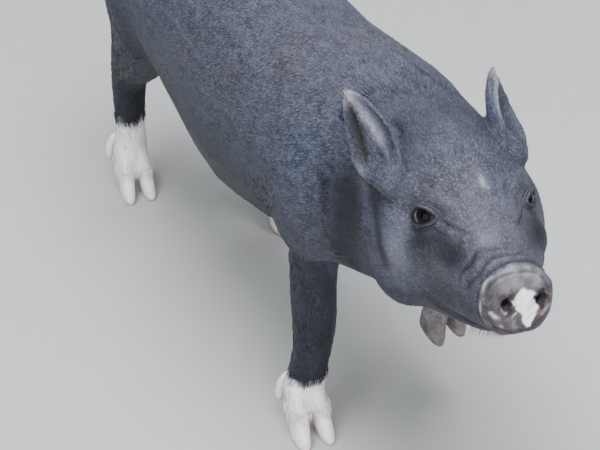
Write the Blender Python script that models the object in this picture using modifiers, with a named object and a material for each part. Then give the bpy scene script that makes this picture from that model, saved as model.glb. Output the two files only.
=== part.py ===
"""Young pot-bellied pig in mid walk, snout raised and left forefoot lifted: a still, life-size solid model.

The pig faces -Y, its left side is +X and +Z is up. The flesh is modelled whole, as lofts and rounded
masses fused into one skin, then the skin is parted by thin cuts into head, neck, torso and legs.
Ears, tail, eyes, hooves and dewclaws are pieces of their own, set on the skin with a thin gap.
"""

import math

import bmesh
import bpy
import numpy as np
from mathutils import Matrix, Vector

# Driving dimensions, in metres
WITHERS_HEIGHT = 0.290
SEAM = 0.0003
# A faceted curve cuts a little inside its true surface, so there the gap is set wider by this
CURVED_SEAM = 1.3
SKIN_VOXEL = 0.0024
SKIN_TRIANGLES = 8700
HEAD_DETAIL = 0.22

# The tables below are in hundredths of a metre for a pig 29 high at the withers
UNIT = WITHERS_HEIGHT / 29.0

# Head: where the midpoint between the eyes is, and how it is turned
HEAD_AT = (1.45, -11.3, 24.2)
HEAD_YAW = math.radians(-8.8)
SNOUT_RAISED = math.radians(7.1)
HEAD_ROLL = math.radians(1.8)

# Trunk stations: distance back, top, bottom, half width, height of the widest line, centre across
TRUNK = (
    (-8.0, 25.4, 16.2, 4.2, 20.6, 1.5),
    (-5.5, 27.7, 14.9, 5.4, 21.0, 1.2),
    (-1.5, 28.9, 14.1, 6.4, 21.0, 0.7),
    (3.0, 28.8, 13.7, 6.6, 20.6, 0.3),
    (8.0, 28.3, 11.9, 6.6, 19.6, 0.1),
    (14.0, 28.4, 10.7, 6.6, 19.2, 0.0),
    (20.0, 28.9, 12.2, 6.3, 20.2, 0.0),
    (26.0, 29.3, 14.8, 6.1, 21.4, 0.0),
    (31.0, 29.0, 16.8, 5.8, 22.2, 0.0),
    (35.0, 27.4, 18.6, 4.9, 22.8, 0.0),
    (37.6, 25.0, 20.2, 2.9, 22.7, 0.0),
)

# Neck stations: centre, half width, half depth
NECK = (
    (0.4, 3.0, 21.3, 5.6, 7.0),
    (1.2, -2.0, 21.6, 5.3, 7.1),
    (1.9, -6.0, 21.5, 4.8, 6.6),
    (2.2, -9.0, 21.3, 4.5, 5.9),
)

# Head stations, along the head from nape to snout:
# forward, top, bottom, half width, height of the widest line, upper roundness
HEAD = (
    (-8.6, 1.2, -6.0, 3.4, -2.2, 2.0),
    (-6.5, 2.4, -7.3, 4.7, -2.8, 2.0),
    (-4.2, 3.1, -7.8, 5.3, -3.2, 2.0),
    (-2.0, 3.3, -7.8, 5.3, -3.3, 1.9),
    (0.0, 2.7, -7.4, 4.5, -3.2, 1.8),
    (1.6, 1.65, -6.9, 3.75, -3.0, 1.9),
    (3.1, 0.6, -6.3, 3.1, -2.8, 2.1),
    (4.6, -0.1, -5.7, 2.55, -2.6, 2.2),
    (5.9, -0.3, -5.05, 2.3, -2.5, 2.2),
    (6.6, -0.35, -4.6, 2.15, -2.5, 2.1),
)
DISC_AT = (0.0, -7.0, -2.5)
DISC_HALF_WIDTH = 2.3
DISC_HALF_HEIGHT = 2.1
DISC_RAISED = math.radians(9.0)
NOSTRIL_APART = 1.0
NOSTRIL_HALF_WIDTH = 0.42
NOSTRIL_HALF_HEIGHT = 0.52
NOSTRIL_DEPTH = 1.0
NOSTRIL_TURN = math.radians(12.0)
NOSTRIL_LEAN = math.radians(18.0)

# Rounded masses on the head, one side: centre across, forward and up, and radii
HEAD_MASSES = (
    ("brow", (2.3, -0.6, 0.75), (1.5, 2.0, 1.1)),
    ("cheekbone", (2.9, 0.4, -1.9), (1.3, 2.6, 1.5)),
    ("jowl", (3.2, -2.8, -4.6), (2.2, 3.4, 2.4)),
    ("lip", (1.35, 4.2, -3.5), (1.35, 1.7, 0.95)),
    ("ear_base", (3.3, -4.3, 0.8), (1.3, 1.7, 1.5)),
)

EYE_AT = (2.65, -0.1, -0.1)
EYE_RADIUS = 1.0
EYE_LOOKS = (0.80, 0.52, 0.30)
EYE_HALF_LENGTH = 0.90
EYE_HALF_OPENING = 0.66
LID_THICKNESS = 0.17
EYE_SLANT = math.radians(-14.0)

MOUTH_CORNER = 1.2
MOUTH_FRONT = 6.4
MOUTH_CORNER_HEIGHT = -4.3
MOUTH_FRONT_HEIGHT = -4.75
MOUTH_DEPTH = 0.22
MOUTH_SAG = 0.35

# Ears, in the head's own axes
EAR_STATIONS = (
    # along, half width, depth of the back, depth of the cup
    (-0.30, 0.70, 0.60, -0.70),
    (-0.12, 1.15, 0.95, -1.00),
    (0.00, 1.45, 1.15, -0.55),
    (0.10, 1.65, 1.25, 0.30),
    (0.22, 1.80, 1.25, 0.72),
    (0.36, 1.80, 1.15, 0.72),
    (0.50, 1.60, 0.98, 0.62),
    (0.66, 1.34, 0.80, 0.48),
    (0.80, 1.02, 0.58, 0.30),
    (0.92, 0.64, 0.36, 0.14),
    (1.00, 0.24, 0.18, -0.06),
)
EAR_RIM = 0.20
# The root bends into the head: how strongly, from what share of the length, and which way
EAR_ROOT_BEND = 7.0
EAR_ROOT_BEND_FROM = 0.25
EAR_ROOT_INWARD = (-0.75, 0.0, -0.65)
# Each ear: name, side, root, tip, and the way that its back faces
EARS = (
    ("left", 1, (4.15, 3.1, 2.15), (3.75, 7.0, 5.35), (-0.65, 0.68, -0.15)),
    ("right", -1, (-4.8, 2.95, 1.85), (-5.73, 6.34, 5.67), (0.74, 0.60, -0.20)),
)

# Legs: path from the trunk to the fetlock as centre, half width and half depth
FOREARM_RIGHT = (
    (-3.2, 1.0, 22.0, 2.2, 3.4),
    (-3.35, 0.8, 17.6, 1.95, 2.2),
    (-3.3, 0.85, 14.2, 1.72, 1.78),
    (-3.3, 0.9, 11.2, 1.66, 1.65),
    (-3.45, 0.9, 8.4, 1.54, 1.5),
    (-3.65, 1.1, 6.2, 1.36, 1.36),
    (-3.95, 1.3, 4.0, 1.32, 1.32),
    (-4.25, 1.1, 2.9, 1.28, 1.28),
)
FOREARM_LEFT = (
    (3.4, 1.8, 22.0, 2.4, 4.2),
    (3.9, 1.3, 17.8, 2.5, 3.4),
    (4.4, -0.9, 15.3, 2.0, 2.3),
    (4.9, -2.9, 13.5, 1.62, 1.75),
    (5.2, -4.1, 12.1, 1.5, 1.52),
    (5.4, -2.9, 10.8, 1.32, 1.35),
    (5.5, -1.2, 10.0, 1.33, 1.33),
    (5.6, -0.3, 9.2, 1.3, 1.3),
)
HIND_RIGHT = (
    (-3.0, 27.8, 23.0, 2.8, 5.2),
    (-3.8, 27.8, 19.0, 2.7, 4.6),
    (-4.0, 29.8, 15.4, 2.1, 3.2),
    (-3.8, 32.4, 12.4, 1.65, 2.0),
    (-3.75, 33.6, 10.2, 1.5, 1.6),
    (-3.85, 33.9, 7.4, 1.3, 1.3),
    (-3.95, 34.0, 4.4, 1.26, 1.28),
    (-4.05, 33.9, 3.0, 1.2, 1.2),
)
HIND_LEFT = (
    (3.0, 27.6, 23.0, 2.8, 5.2),
    (3.9, 26.4, 19.0, 2.7, 4.6),
    (4.2, 26.6, 15.0, 2.1, 3.2),
    (4.4, 27.7, 12.0, 1.45, 1.9),
    (4.5, 27.5, 9.8, 1.2, 1.4),
    (4.6, 26.2, 7.2, 1.12, 1.2),
    (4.6, 24.9, 4.4, 1.22, 1.25),
    (4.6, 24.3, 3.0, 1.2, 1.2),
)

# Feet: leg name, where the foot stands, how it is turned and how far its toes point down
FEET = (
    ("front_right", FOREARM_RIGHT, (-4.3, 1.3, 0.0), -3.0, 0.0, 1.0),
    ("front_left", FOREARM_LEFT, (5.6, 0.0, 6.3), 8.0, 24.0, 1.0),
    ("hind_right", HIND_RIGHT, (-4.1, 34.0, 0.0), -6.0, 0.0, 0.96),
    ("hind_left", HIND_LEFT, (4.6, 24.4, 0.0), 5.0, 0.0, 0.96),
)
# Toe inside the skin: centre across, back and up, half width and half depth
TOE = (
    (0.40, 0.1, 3.9, 0.92, 1.2),
    (0.64, -0.5, 3.0, 0.76, 1.12),
    (0.76, -1.1, 1.9, 0.64, 1.08),
    (0.86, -1.6, 0.9, 0.54, 1.0),
)
CORONET_AT = (-1.0, 1.95)
CORONET_TILT = math.radians(20.0)
# Hoof rings: centre across, back and up, half width, length ahead and behind
HOOF = (
    (0.74, -0.95, 2.60, 0.60, 0.95, 0.95),
    (0.79, -1.12, 1.90, 0.62, 1.05, 1.02),
    (0.85, -1.42, 1.00, 0.60, 1.30, 1.14),
    (0.90, -1.62, 0.25, 0.55, 1.42, 1.20),
    (0.90, -1.64, 0.00, 0.48, 1.30, 1.12),
)
# Dewclaw rings: centre across, back and up, and radius
DEWCLAW = (
    (0.78, 0.60, 4.70, 0.34),
    (1.18, 0.92, 4.15, 0.37),
    (1.42, 1.14, 3.40, 0.36),
    (1.50, 1.26, 2.65, 0.31),
    (1.50, 1.30, 2.05, 0.14),
)
# How much nearer the leg and lower the front feet's dewclaws sit
FRONT_DEWCLAW = (0.30, 0.55)

# Tail: centre and radius from root to tip, and the brush at its end
TAIL = (
    (0.0, 35.6, 26.2, 1.35),
    (0.0, 37.6, 25.2, 1.05),
    (0.15, 39.2, 23.2, 0.80),
    (0.40, 39.8, 20.6, 0.62),
    (0.75, 39.9, 18.0, 0.50),
    (1.05, 39.8, 15.8, 0.42),
    (1.20, 39.7, 14.6, 0.34),
)
BRUSH_LOCKS = 14
BRUSH_LENGTH = 4.4
BRUSH_LOCK_HALF_WIDTH = 0.34

# Cutting balls that part each leg from the trunk: centre and radii
LEG_BALLS = {
    "front_right": ((-8.0, 2.2, 8.6), (6.7, 5.6, 14.2)),
    "front_left": ((8.3, 1.2, 9.0), (6.2, 6.6, 14.4)),
    "hind_right": ((-8.0, 32.2, 9.2), (6.6, 8.2, 15.6)),
    "hind_left": ((8.2, 27.8, 9.2), (6.8, 8.6, 15.6)),
}
HEAD_NECK_CUT = -6.0
NECK_TORSO_CUT_AT = (0.0, -3.6, 21.5)
NECK_TORSO_CUT_TILT = math.radians(-14.0)

COAT_BLACK = (0.035, 0.037, 0.045)
HORN_PINK = (0.62, 0.50, 0.45)
EYE_BROWN = (0.02, 0.012, 0.009)


def scaled(values):
    """A table entry in metres."""
    return Vector(values) * UNIT


def head_matrix():
    """Turns the head's own axes (left, back, up, from between the eyes) into the pig's."""
    turn = (
        Matrix.Rotation(HEAD_YAW, 4, "Z")
        @ Matrix.Rotation(-SNOUT_RAISED, 4, "X")
        @ Matrix.Rotation(HEAD_ROLL, 4, "Y")
    )
    return Matrix.Translation(scaled(HEAD_AT)) @ turn


def smooth_rows(rows, count):
    """Rows of a table resampled on a smooth curve through all of them."""
    rows = np.array(rows, float)
    padded = np.vstack([2 * rows[0] - rows[1], rows, 2 * rows[-1] - rows[-2]])
    out = []
    for place in np.linspace(0.0, len(rows) - 1.0, count):
        i = min(int(place), len(rows) - 2)
        t = place - i
        a, b, c, d = padded[i : i + 4]
        bend = (2 * a - 5 * b + 4 * c - d) * t**2 + (3 * b - a - 3 * c + d) * t**3
        out.append(0.5 * (2 * b + (c - a) * t + bend))
    return out


def add_object(name, mesh, collection):
    obj = bpy.data.objects.new(name, mesh)
    collection.objects.link(obj)
    return obj


def cutter_collection():
    """The collection that holds each cutter while it is in use."""
    found = bpy.data.collections.get("cutters")
    if found is None:
        found = bpy.data.collections.new("cutters")
        found.hide_render = True
        bpy.context.scene.collection.children.link(found)
    return found


def object_from(bm, name, collection, matrix=None):
    """A mesh object from a bmesh, with its faces turned outwards."""
    bmesh.ops.recalc_face_normals(bm, faces=bm.faces)
    mesh = bpy.data.meshes.new(name)
    bm.to_mesh(mesh)
    bm.free()
    if matrix is not None:
        mesh.transform(matrix)
    return add_object(name, mesh, collection)


def loft(name, rings, collection, matrix=None):
    """A closed solid through rings that have the same number of points."""
    bm = bmesh.new()
    loops = [[bm.verts.new(p) for p in ring] for ring in rings]
    sides = len(loops[0])
    for low, high in zip(loops, loops[1:]):
        for i in range(sides):
            j = (i + 1) % sides
            bm.faces.new((low[i], low[j], high[j], high[i]))
    bm.faces.new(loops[0])
    bm.faces.new(loops[-1])
    return object_from(bm, name, collection, matrix)


def oval(centre, across, upward, half_width, rise, fall, roundness=2.0, sides=28):
    """A ring about centre: half_width to each side, rise above and fall below, squarer above 2."""
    points = []
    for i in range(sides):
        angle = 2 * math.pi * i / sides
        c, s = math.cos(angle), math.sin(angle)
        power = 2.0 / roundness
        x = math.copysign(abs(c) ** power, c) * half_width
        z = math.copysign(abs(s) ** power, s) * (rise if s > 0 else fall)
        points.append(centre + across * x + upward * z)
    return points


def tube(name, rows, collection, matrix=None, sides=20, count=24):
    """A tapering tube: each row holds a centre, a half width across and a half depth."""
    rows = smooth_rows(rows, count)
    centres = [scaled(row[:3]) for row in rows]
    rings = []
    for i, row in enumerate(rows):
        along = centres[min(i + 1, len(centres) - 1)] - centres[max(i - 1, 0)]
        along.normalize()
        across = Vector((1, 0, 0)) - along * along.x
        across.normalize()
        depth = along.cross(across)
        half_depth = row[-1] * UNIT
        rings.append(oval(centres[i], across, depth, row[3] * UNIT, half_depth, half_depth, sides=sides))
    return loft(name, rings, collection, matrix)


def ball(name, centre, radii, collection, matrix=None, segments=24, rings=16):
    bm = bmesh.new()
    shape = Matrix.Translation(scaled(centre)) @ Matrix.Diagonal((*scaled(radii), 1.0))
    bmesh.ops.create_uvsphere(bm, u_segments=segments, v_segments=rings, radius=1.0, matrix=shape)
    return object_from(bm, name, collection, matrix)


def trunk(collection):
    rings = []
    for back, top, bottom, half, widest, across in smooth_rows(TRUNK, 44):
        centre = scaled((across, back, widest))
        rings.append(
            oval(centre, Vector((1, 0, 0)), Vector((0, 0, 1)), half * UNIT, (top - widest) * UNIT,
                 (widest - bottom) * UNIT, 2.0, 36)
        )
    return loft("trunk", rings, collection)


def skull(collection):
    """The head from nape to snout, in the head's own axes."""
    rings = []
    for forward, top, bottom, half, widest, roundness in smooth_rows(HEAD, 40):
        centre = scaled((0, -forward, widest))
        rings.append(
            oval(centre, Vector((1, 0, 0)), Vector((0, 0, 1)), half * UNIT, (top - widest) * UNIT,
                 (widest - bottom) * UNIT, roundness, 36)
        )
    return loft("skull", rings, collection, head_matrix())


def disc_matrix():
    """The snout disc's axes: -Y out of the disc, Z up along it."""
    return head_matrix() @ Matrix.Translation(scaled(DISC_AT)) @ Matrix.Rotation(-DISC_RAISED, 4, "X")


def snout_disc(collection):
    """The flat, gristly disc, a little wider than the muzzle behind it."""
    profile = ((0.75, 0.84), (0.45, 0.93), (0.22, 1.0), (0.08, 1.0), (0.0, 0.94))
    rings = []
    for back, share in profile:
        centre = Vector((0, back * UNIT, 0))
        rings.append(
            oval(centre, Vector((1, 0, 0)), Vector((0, 0, 1)), share * DISC_HALF_WIDTH * UNIT,
                 share * DISC_HALF_HEIGHT * UNIT, share * DISC_HALF_HEIGHT * UNIT, 2.1, 32)
        )
    return loft("snout_disc", rings, collection, disc_matrix())


def foot_matrix(foot):
    """A foot's axes: origin under the fetlock, -Y toward the toes. A lifted foot also points down."""
    _, _, at, turn, toes_down, size = foot
    pivot = scaled((0, 0, 3.2))
    pointed = Matrix.Rotation(math.radians(toes_down), 4, "X")
    drop = Matrix.Translation(pivot) @ pointed @ Matrix.Translation(-pivot)
    turned = Matrix.Rotation(math.radians(turn), 4, "Z")
    return Matrix.Translation(scaled(at)) @ turned @ drop @ Matrix.Diagonal((size, size, 1.0, 1.0))


def mirrored_rows(rows, side):
    return [(side * row[0], *row[1:]) for row in rows]


def flesh_masses(collection):
    """Every loft and rounded mass that the skin wraps."""
    pieces = [trunk(collection), skull(collection), snout_disc(collection)]
    pieces.append(tube("neck_core", NECK, collection))
    for side in (1, -1):
        for name, centre, radii in HEAD_MASSES:
            at = (side * centre[0], -centre[1], centre[2])
            pieces.append(ball(name, at, radii, collection, head_matrix()))
    pieces.append(ball("shoulder_right", (-3.8, 0.2, 19.9), (2.6, 3.9, 5.0), collection))
    pieces.append(ball("shoulder_left", (3.7, 1.2, 19.6), (2.8, 5.0, 6.4), collection))
    pieces.append(ball("haunch_right", (-3.0, 29.0, 21.2), (3.5, 6.2, 6.8), collection))
    pieces.append(ball("haunch_left", (3.0, 28.6, 21.2), (3.5, 6.2, 6.8), collection))
    for foot in FEET:
        pieces.append(tube("leg_" + foot[0], foot[1], collection))
        for side in (1, -1):
            pieces.append(tube("toe", mirrored_rows(TOE, side), collection, foot_matrix(foot), 14, 10))
    return pieces


def evaluated_mesh(obj):
    graph = bpy.context.evaluated_depsgraph_get()
    return bpy.data.meshes.new_from_object(obj.evaluated_get(graph))


def bake_modifiers(obj):
    """Makes what the modifiers show the object's own mesh."""
    mesh = evaluated_mesh(obj)
    obj.modifiers.clear()
    old = obj.data
    obj.data = mesh
    bpy.data.meshes.remove(old)
    return obj


def merged(pieces, name, collection):
    """The pieces' meshes in one object, still overlapping."""
    bm = bmesh.new()
    for piece in pieces:
        bm.from_mesh(piece.data)
        bpy.data.objects.remove(piece)
    mesh = bpy.data.meshes.new(name)
    bm.to_mesh(mesh)
    bm.free()
    return add_object(name, mesh, collection)


def coordinates(mesh):
    points = np.empty(len(mesh.vertices) * 3)
    mesh.vertices.foreach_get("co", points)
    return points.reshape(-1, 3)


def normals(mesh):
    found = np.empty(len(mesh.vertices) * 3)
    mesh.vertices.foreach_get("normal", found)
    return found.reshape(-1, 3)


def set_coordinates(mesh, points):
    mesh.vertices.foreach_set("co", points.ravel())
    mesh.update()


def into(matrix, points):
    """World points in a frame's own axes, in table units."""
    inverse = np.array(matrix.inverted())
    return (points @ inverse[:3, :3].T + inverse[:3, 3]) / UNIT


def out_of(matrix, points):
    forward = np.array(matrix)
    return (points * UNIT) @ forward[:3, :3].T + forward[:3, 3]


def eased(value, low, high):
    """0 below low, 1 above high and smooth between."""
    t = np.clip((value - low) / (high - low), 0.0, 1.0)
    return t * t * (3 - 2 * t)


def eye_matrix(side):
    """An eye's axes in the head: Y out of the pupil, X along the slit, Z across it."""
    look = Vector((side * EYE_LOOKS[0], -EYE_LOOKS[1], EYE_LOOKS[2])).normalized()
    slit = look.cross(Vector((0, 0, 1))).normalized()
    slit = Matrix.Rotation(side * EYE_SLANT, 3, look) @ slit
    upward = slit.cross(look)
    place = Matrix((slit, look, upward)).transposed().to_4x4()
    return Matrix.Translation(scaled((side * EYE_AT[0], -EYE_AT[1], EYE_AT[2]))) @ place


def shape_lids(points, side):
    """Draws the skin close over the front of the eyeball, for the lids."""
    matrix = head_matrix() @ eye_matrix(side)
    local = into(matrix, points)
    radius = np.linalg.norm(local, axis=1)
    almond = np.abs(local[:, 0] / EYE_HALF_LENGTH) ** 1.6 + np.abs(local[:, 2] / EYE_HALF_OPENING) ** 1.6
    almond = almond ** (1 / 1.6)
    near = (local[:, 1] > 0) & (almond < 2.8) & (radius < 3.2)
    target = EYE_RADIUS + LID_THICKNESS
    weight = (1.0 - eased(almond, 1.2, 2.8)) * (1.0 - eased(radius, 1.7, 3.2))
    moved = local * (1 + (target / np.maximum(radius, 1e-6) - 1) * weight)[:, None]
    local[near] = moved[near]
    return np.where(near[:, None], out_of(matrix, local), points)


def shape_head(points, facing):
    """Mouth line, lips, nostrils, the rim behind the disc and the folds over the snout."""
    local = into(head_matrix(), points)
    forward = -local[:, 1]
    share = np.clip((forward - MOUTH_CORNER) / (MOUTH_FRONT - MOUTH_CORNER), 0, 1)
    line = MOUTH_CORNER_HEIGHT + (MOUTH_FRONT_HEIGHT - MOUTH_CORNER_HEIGHT) * share
    line = line - MOUTH_SAG * np.sin(math.pi * share)
    off = (local[:, 2] - line) / 0.30
    reach = eased(forward, MOUTH_CORNER - 0.5, MOUTH_CORNER + 0.3) * (forward < 7.4)
    upright = 1 - eased(np.abs(facing[:, 2]), 0.75, 0.98)
    sink = MOUTH_DEPTH * np.exp(-(off**2)) - 0.10 * np.exp(-((np.abs(off) - 1.9) ** 2))
    points = points - facing * (sink * reach * upright * UNIT)[:, None]

    on_disc = into(disc_matrix(), points)
    behind = on_disc[:, 1]
    top = 0.5 + 0.5 * np.clip(on_disc[:, 2] / 1.9, -1, 1)
    for back, depth, spread in ((0.72, 0.13, 0.16), (1.35, 0.09, 0.2), (2.0, 0.07, 0.22)):
        groove = depth * np.exp(-(((behind - back) / spread) ** 2)) * (0.25 + 0.75 * top)
        points = points - facing * (groove * UNIT)[:, None]

    return points


def nostrils(head):
    """Two tapering pits in the disc, turned a little outwards."""
    for side in (1, -1):
        turn = Matrix.Rotation(side * NOSTRIL_TURN, 4, "Z") @ Matrix.Rotation(side * NOSTRIL_LEAN, 4, "Y")
        at = disc_matrix() @ Matrix.Translation(scaled((side * NOSTRIL_APART, 0, 0.05))) @ turn
        rings = []
        for back, share in ((-0.6, 1.25), (-0.12, 1.1), (0.15, 0.94), (0.6, 0.78), (NOSTRIL_DEPTH, 0.35)):
            centre = Vector((0, back * UNIT, 0))
            wide, tall = NOSTRIL_HALF_WIDTH * UNIT * share, NOSTRIL_HALF_HEIGHT * UNIT * share
            rings.append(oval(centre, Vector((1, 0, 0)), Vector((0, 0, 1)), wide, tall, tall, 2.0, 14))
        pit = loft("cutter", rings, cutter_collection(), at)
        combined(head, pit, "DIFFERENCE")
        removed(pit)


def skin_object(collection):
    """The whole of the flesh as one smooth skin, thinned where it is plain."""
    skin = merged(flesh_masses(collection), "skin", collection)
    remesh = skin.modifiers.new("wrap", "REMESH")
    remesh.mode = "VOXEL"
    remesh.voxel_size = SKIN_VOXEL
    relax = skin.modifiers.new("blend", "SMOOTH")
    relax.factor = 0.5
    relax.iterations = 14
    bake_modifiers(skin)
    mesh = skin.data
    points = shape_head(coordinates(mesh), normals(mesh))
    for side in (1, -1):
        points = shape_lids(points, side)
    set_coordinates(mesh, points)

    forward = -into(head_matrix(), points)[:, 1]
    weight = 1 - HEAD_DETAIL * eased(forward, -7.5, -3.0)
    low_legs = 1 - eased(points[:, 2] / UNIT, 2.5, 8.0)
    weight = np.minimum(weight, 1 - 0.3 * low_legs)
    group = skin.vertex_groups.new(name="plain")
    for index, value in enumerate(weight):
        group.add([index], float(value), "REPLACE")
    thin = skin.modifiers.new("thin", "DECIMATE")
    thin.ratio = SKIN_TRIANGLES / (2.0 * len(mesh.polygons))
    thin.vertex_group = "plain"
    bake_modifiers(skin)
    skin.vertex_groups.clear()
    return skin


def copy_of(obj, name, collection, grown=0.0):
    """A copy, its surface moved out by grown."""
    mesh = obj.data.copy()
    if grown:
        set_coordinates(mesh, coordinates(mesh) + normals(mesh) * grown)
    return add_object(name, mesh, collection)


def largest_body(obj):
    """Keeps the largest closed surface of an object."""
    bm = bmesh.new()
    bm.from_mesh(obj.data)
    bmesh.ops.remove_doubles(bm, verts=bm.verts, dist=0.00001)
    bmesh.ops.dissolve_degenerate(bm, edges=bm.edges, dist=0.00001)
    bmesh.ops.triangulate(bm, faces=bm.faces)
    left = set(bm.verts)
    bodies = []
    while left:
        body = {left.pop()}
        front = list(body)
        while front:
            vert = front.pop()
            for edge in vert.link_edges:
                other = edge.other_vert(vert)
                if other not in body:
                    body.add(other)
                    front.append(other)
        left -= body
        bodies.append(body)
    keep = max(bodies, key=len)
    bmesh.ops.delete(bm, geom=[v for v in bm.verts if v not in keep], context="VERTS")
    bm.to_mesh(obj.data)
    bm.free()
    return obj


def combined(obj, other, operation, solver="EXACT"):
    """Applies one Boolean with another object."""
    modifier = obj.modifiers.new(operation.lower(), "BOOLEAN")
    modifier.operation = operation
    modifier.solver = solver
    modifier.object = other
    return largest_body(bake_modifiers(obj))


def removed(obj):
    mesh = obj.data
    bpy.data.objects.remove(obj)
    bpy.data.meshes.remove(mesh)


def half_space(at, facing, size=60.0):
    """A large box whose one face passes through a point; the box lies on the side that it faces."""
    turn = Vector(facing).to_track_quat("Z", "Y").to_matrix().to_4x4()
    bm = bmesh.new()
    shape = Matrix.Translation(at) @ turn @ Matrix.Translation((0, 0, size * UNIT / 2))
    bmesh.ops.create_cube(bm, size=size * UNIT, matrix=shape)
    return object_from(bm, "cutter", cutter_collection())


def split_by_plane(obj, names, at, facing, collection):
    """Two nodes from one, either side of a plane, with the seam's gap between them."""
    facing = Vector(facing).normalized()
    made = []
    for name, sign in zip(names, (1, -1)):
        piece = copy_of(obj, name, collection)
        side = half_space(at + facing * sign * SEAM / 2, facing * sign)
        made.append(combined(piece, side, "INTERSECT"))
        removed(side)
    removed(obj)
    return made


def split_by_ball(obj, name, centre, radii, collection):
    """Takes a leg out of the skin with a cutting ball, and returns it."""
    leg = copy_of(obj, name, collection)
    inner = ball("cutter", centre, radii, cutter_collection(), segments=32, rings=24)
    combined(leg, inner, "INTERSECT")
    removed(inner)
    wider = [radius + SEAM * CURVED_SEAM / UNIT for radius in radii]
    outer = ball("cutter", centre, wider, cutter_collection(), segments=32, rings=24)
    combined(obj, outer, "DIFFERENCE")
    removed(outer)
    return leg


def hoof(name, foot, side, collection):
    """One main hoof, its sole flat and its top cut along the coronet."""
    matrix = foot_matrix(foot)
    rings = []
    for out, along, up, half, ahead, behind in smooth_rows(HOOF, 6):
        centre = scaled((side * out, along, up))
        across, back = Vector((1, 0, 0)), Vector((0, 1, 0))
        rings.append(oval(centre, across, back, half * UNIT, behind * UNIT, ahead * UNIT, 2.3, 14))
    piece = loft(name, rings, collection, matrix)
    at, facing = coronet_plane(matrix)
    above = half_space(at - facing * SEAM / 2, facing, 20.0)
    combined(piece, above, "DIFFERENCE")
    removed(above)
    return piece


def coronet_plane(matrix):
    """A point on the top plane of a foot's hooves, and the way that it faces."""
    at = matrix @ scaled((0, *CORONET_AT))
    facing = matrix.to_3x3() @ Vector((0, math.sin(CORONET_TILT), math.cos(CORONET_TILT)))
    return at, facing.normalized()


def trim_toes(leg, foot):
    """Ends the leg's toes on the coronet plane."""
    matrix = foot_matrix(foot)
    at, facing = coronet_plane(matrix)
    below = half_space(at + facing * SEAM / 2, -facing, 12.0)
    combined(leg, below, "DIFFERENCE")
    removed(below)


def dewclaw(name, foot, side, leg, collection):
    """A small claw hanging behind the fetlock, seated on the leg."""
    nearer, lower = FRONT_DEWCLAW if "front" in foot[0] else (0.0, 0.0)
    rows = [(side * (a - nearer), b, c - lower, r, r) for a, b, c, r in DEWCLAW]
    piece = tube(name, rows, collection, foot_matrix(foot), 8, 6)
    return seated(piece, leg)


def seated(piece, body):
    """The piece's root cut back to the body's surface, with the seam's gap."""
    grown = copy_of(body, "cutter", cutter_collection(), SEAM * CURVED_SEAM)
    combined(piece, grown, "DIFFERENCE")
    removed(grown)
    return piece


def ear(name, side, root, tip, back_faces, bodies, collection):
    """A cupped ear: a solid root that opens into a shell."""
    inward = Vector((side * EAR_ROOT_INWARD[0], *EAR_ROOT_INWARD[1:]))
    along = Vector(tip) - Vector(root)
    length = along.length
    along.normalize()
    back = Vector(back_faces)
    back = (back - along * back.dot(along)).normalized()
    across = along.cross(back)
    rings = []
    arc = 7
    for share, half, outer, inner in smooth_rows(EAR_STATIONS, 12):
        bow = 0.25 * math.sin(math.pi * max(share, 0.0))
        bend = EAR_ROOT_BEND * max(EAR_ROOT_BEND_FROM - share, 0.0) ** 2
        centre = scaled(root) + (along * (share * length) + back * bow + inward * bend) * UNIT
        ring = []
        for i in range(arc):
            angle = math.pi * i / (arc - 1)
            ring.append(centre + (across * half * math.cos(angle) + back * outer * math.sin(angle)) * UNIT)
        narrow = max(half - EAR_RIM, half * 0.35)
        drop = 0.12 if inner > 0 else 0.0
        for i in range(arc):
            angle = math.pi * (1 - i / (arc - 1))
            deep = inner * math.sin(angle) - drop
            ring.append(centre + (across * narrow * math.cos(angle) + back * deep) * UNIT)
        rings.append(ring)
    piece = loft(name, rings, collection, head_matrix())
    for body in bodies:
        seated(piece, body)
    return piece


def lock(name, root, direction, bend, collection):
    """One flat, tapered lock of the tail's brush."""
    direction = direction.normalized()
    side = direction.cross(Vector((0, 0, 1)) if abs(direction.z) < 0.9 else Vector((1, 0, 0))).normalized()
    thick = direction.cross(side)
    rings = []
    for share, half in ((0.0, 0.7), (0.25, 1.0), (0.6, 0.75), (1.0, 0.12)):
        centre = root + direction * (share * BRUSH_LENGTH * UNIT) + bend * share**2 * UNIT
        wide = half * BRUSH_LOCK_HALF_WIDTH * UNIT
        rings.append(oval(centre, side, thick, wide, wide * 0.4, wide * 0.4, sides=6))
    return loft(name, rings, collection)


def tail(torso, collection):
    """The hanging tail and the locks of its brush, joined into one node."""
    rows = [(x, y, z, r, r) for x, y, z, r in TAIL]
    piece = tube("tail", rows, collection, sides=12, count=16)
    locks = bpy.data.collections.new("tail_locks")
    bpy.context.scene.collection.children.link(locks)
    end = scaled(TAIL[-1][:3])
    above = scaled(TAIL[-2][:3])
    down = (end - above).normalized()
    rng = np.random.default_rng(4)
    for i in range(BRUSH_LOCKS):
        angle = 2 * math.pi * i / BRUSH_LOCKS * 2.4
        ring = i / (BRUSH_LOCKS - 1)
        out = Vector((math.cos(angle), math.sin(angle), 0))
        out = (out - down * out.dot(down)).normalized()
        root = end + down * ((ring * 1.9 - 1.6) * UNIT) + out * (0.10 * UNIT)
        spread = float(rng.uniform(0.10, 0.24))
        lock(f"lock_{i}", root, down + out * spread, out * float(rng.uniform(-0.5, -0.1)), locks)
    join = piece.modifiers.new("join", "BOOLEAN")
    join.operation = "UNION"
    join.operand_type = "COLLECTION"
    join.solver = "EXACT"
    join.collection = locks
    bake_modifiers(piece)
    for obj in list(locks.objects):
        removed(obj)
    bpy.data.collections.remove(locks)
    largest_body(piece)
    return seated(piece, torso)


def eyeball(name, side, collection):
    piece = ball(name, (0, 0, 0), (EYE_RADIUS,) * 3, collection, head_matrix() @ eye_matrix(side), 18, 12)
    return piece


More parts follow.
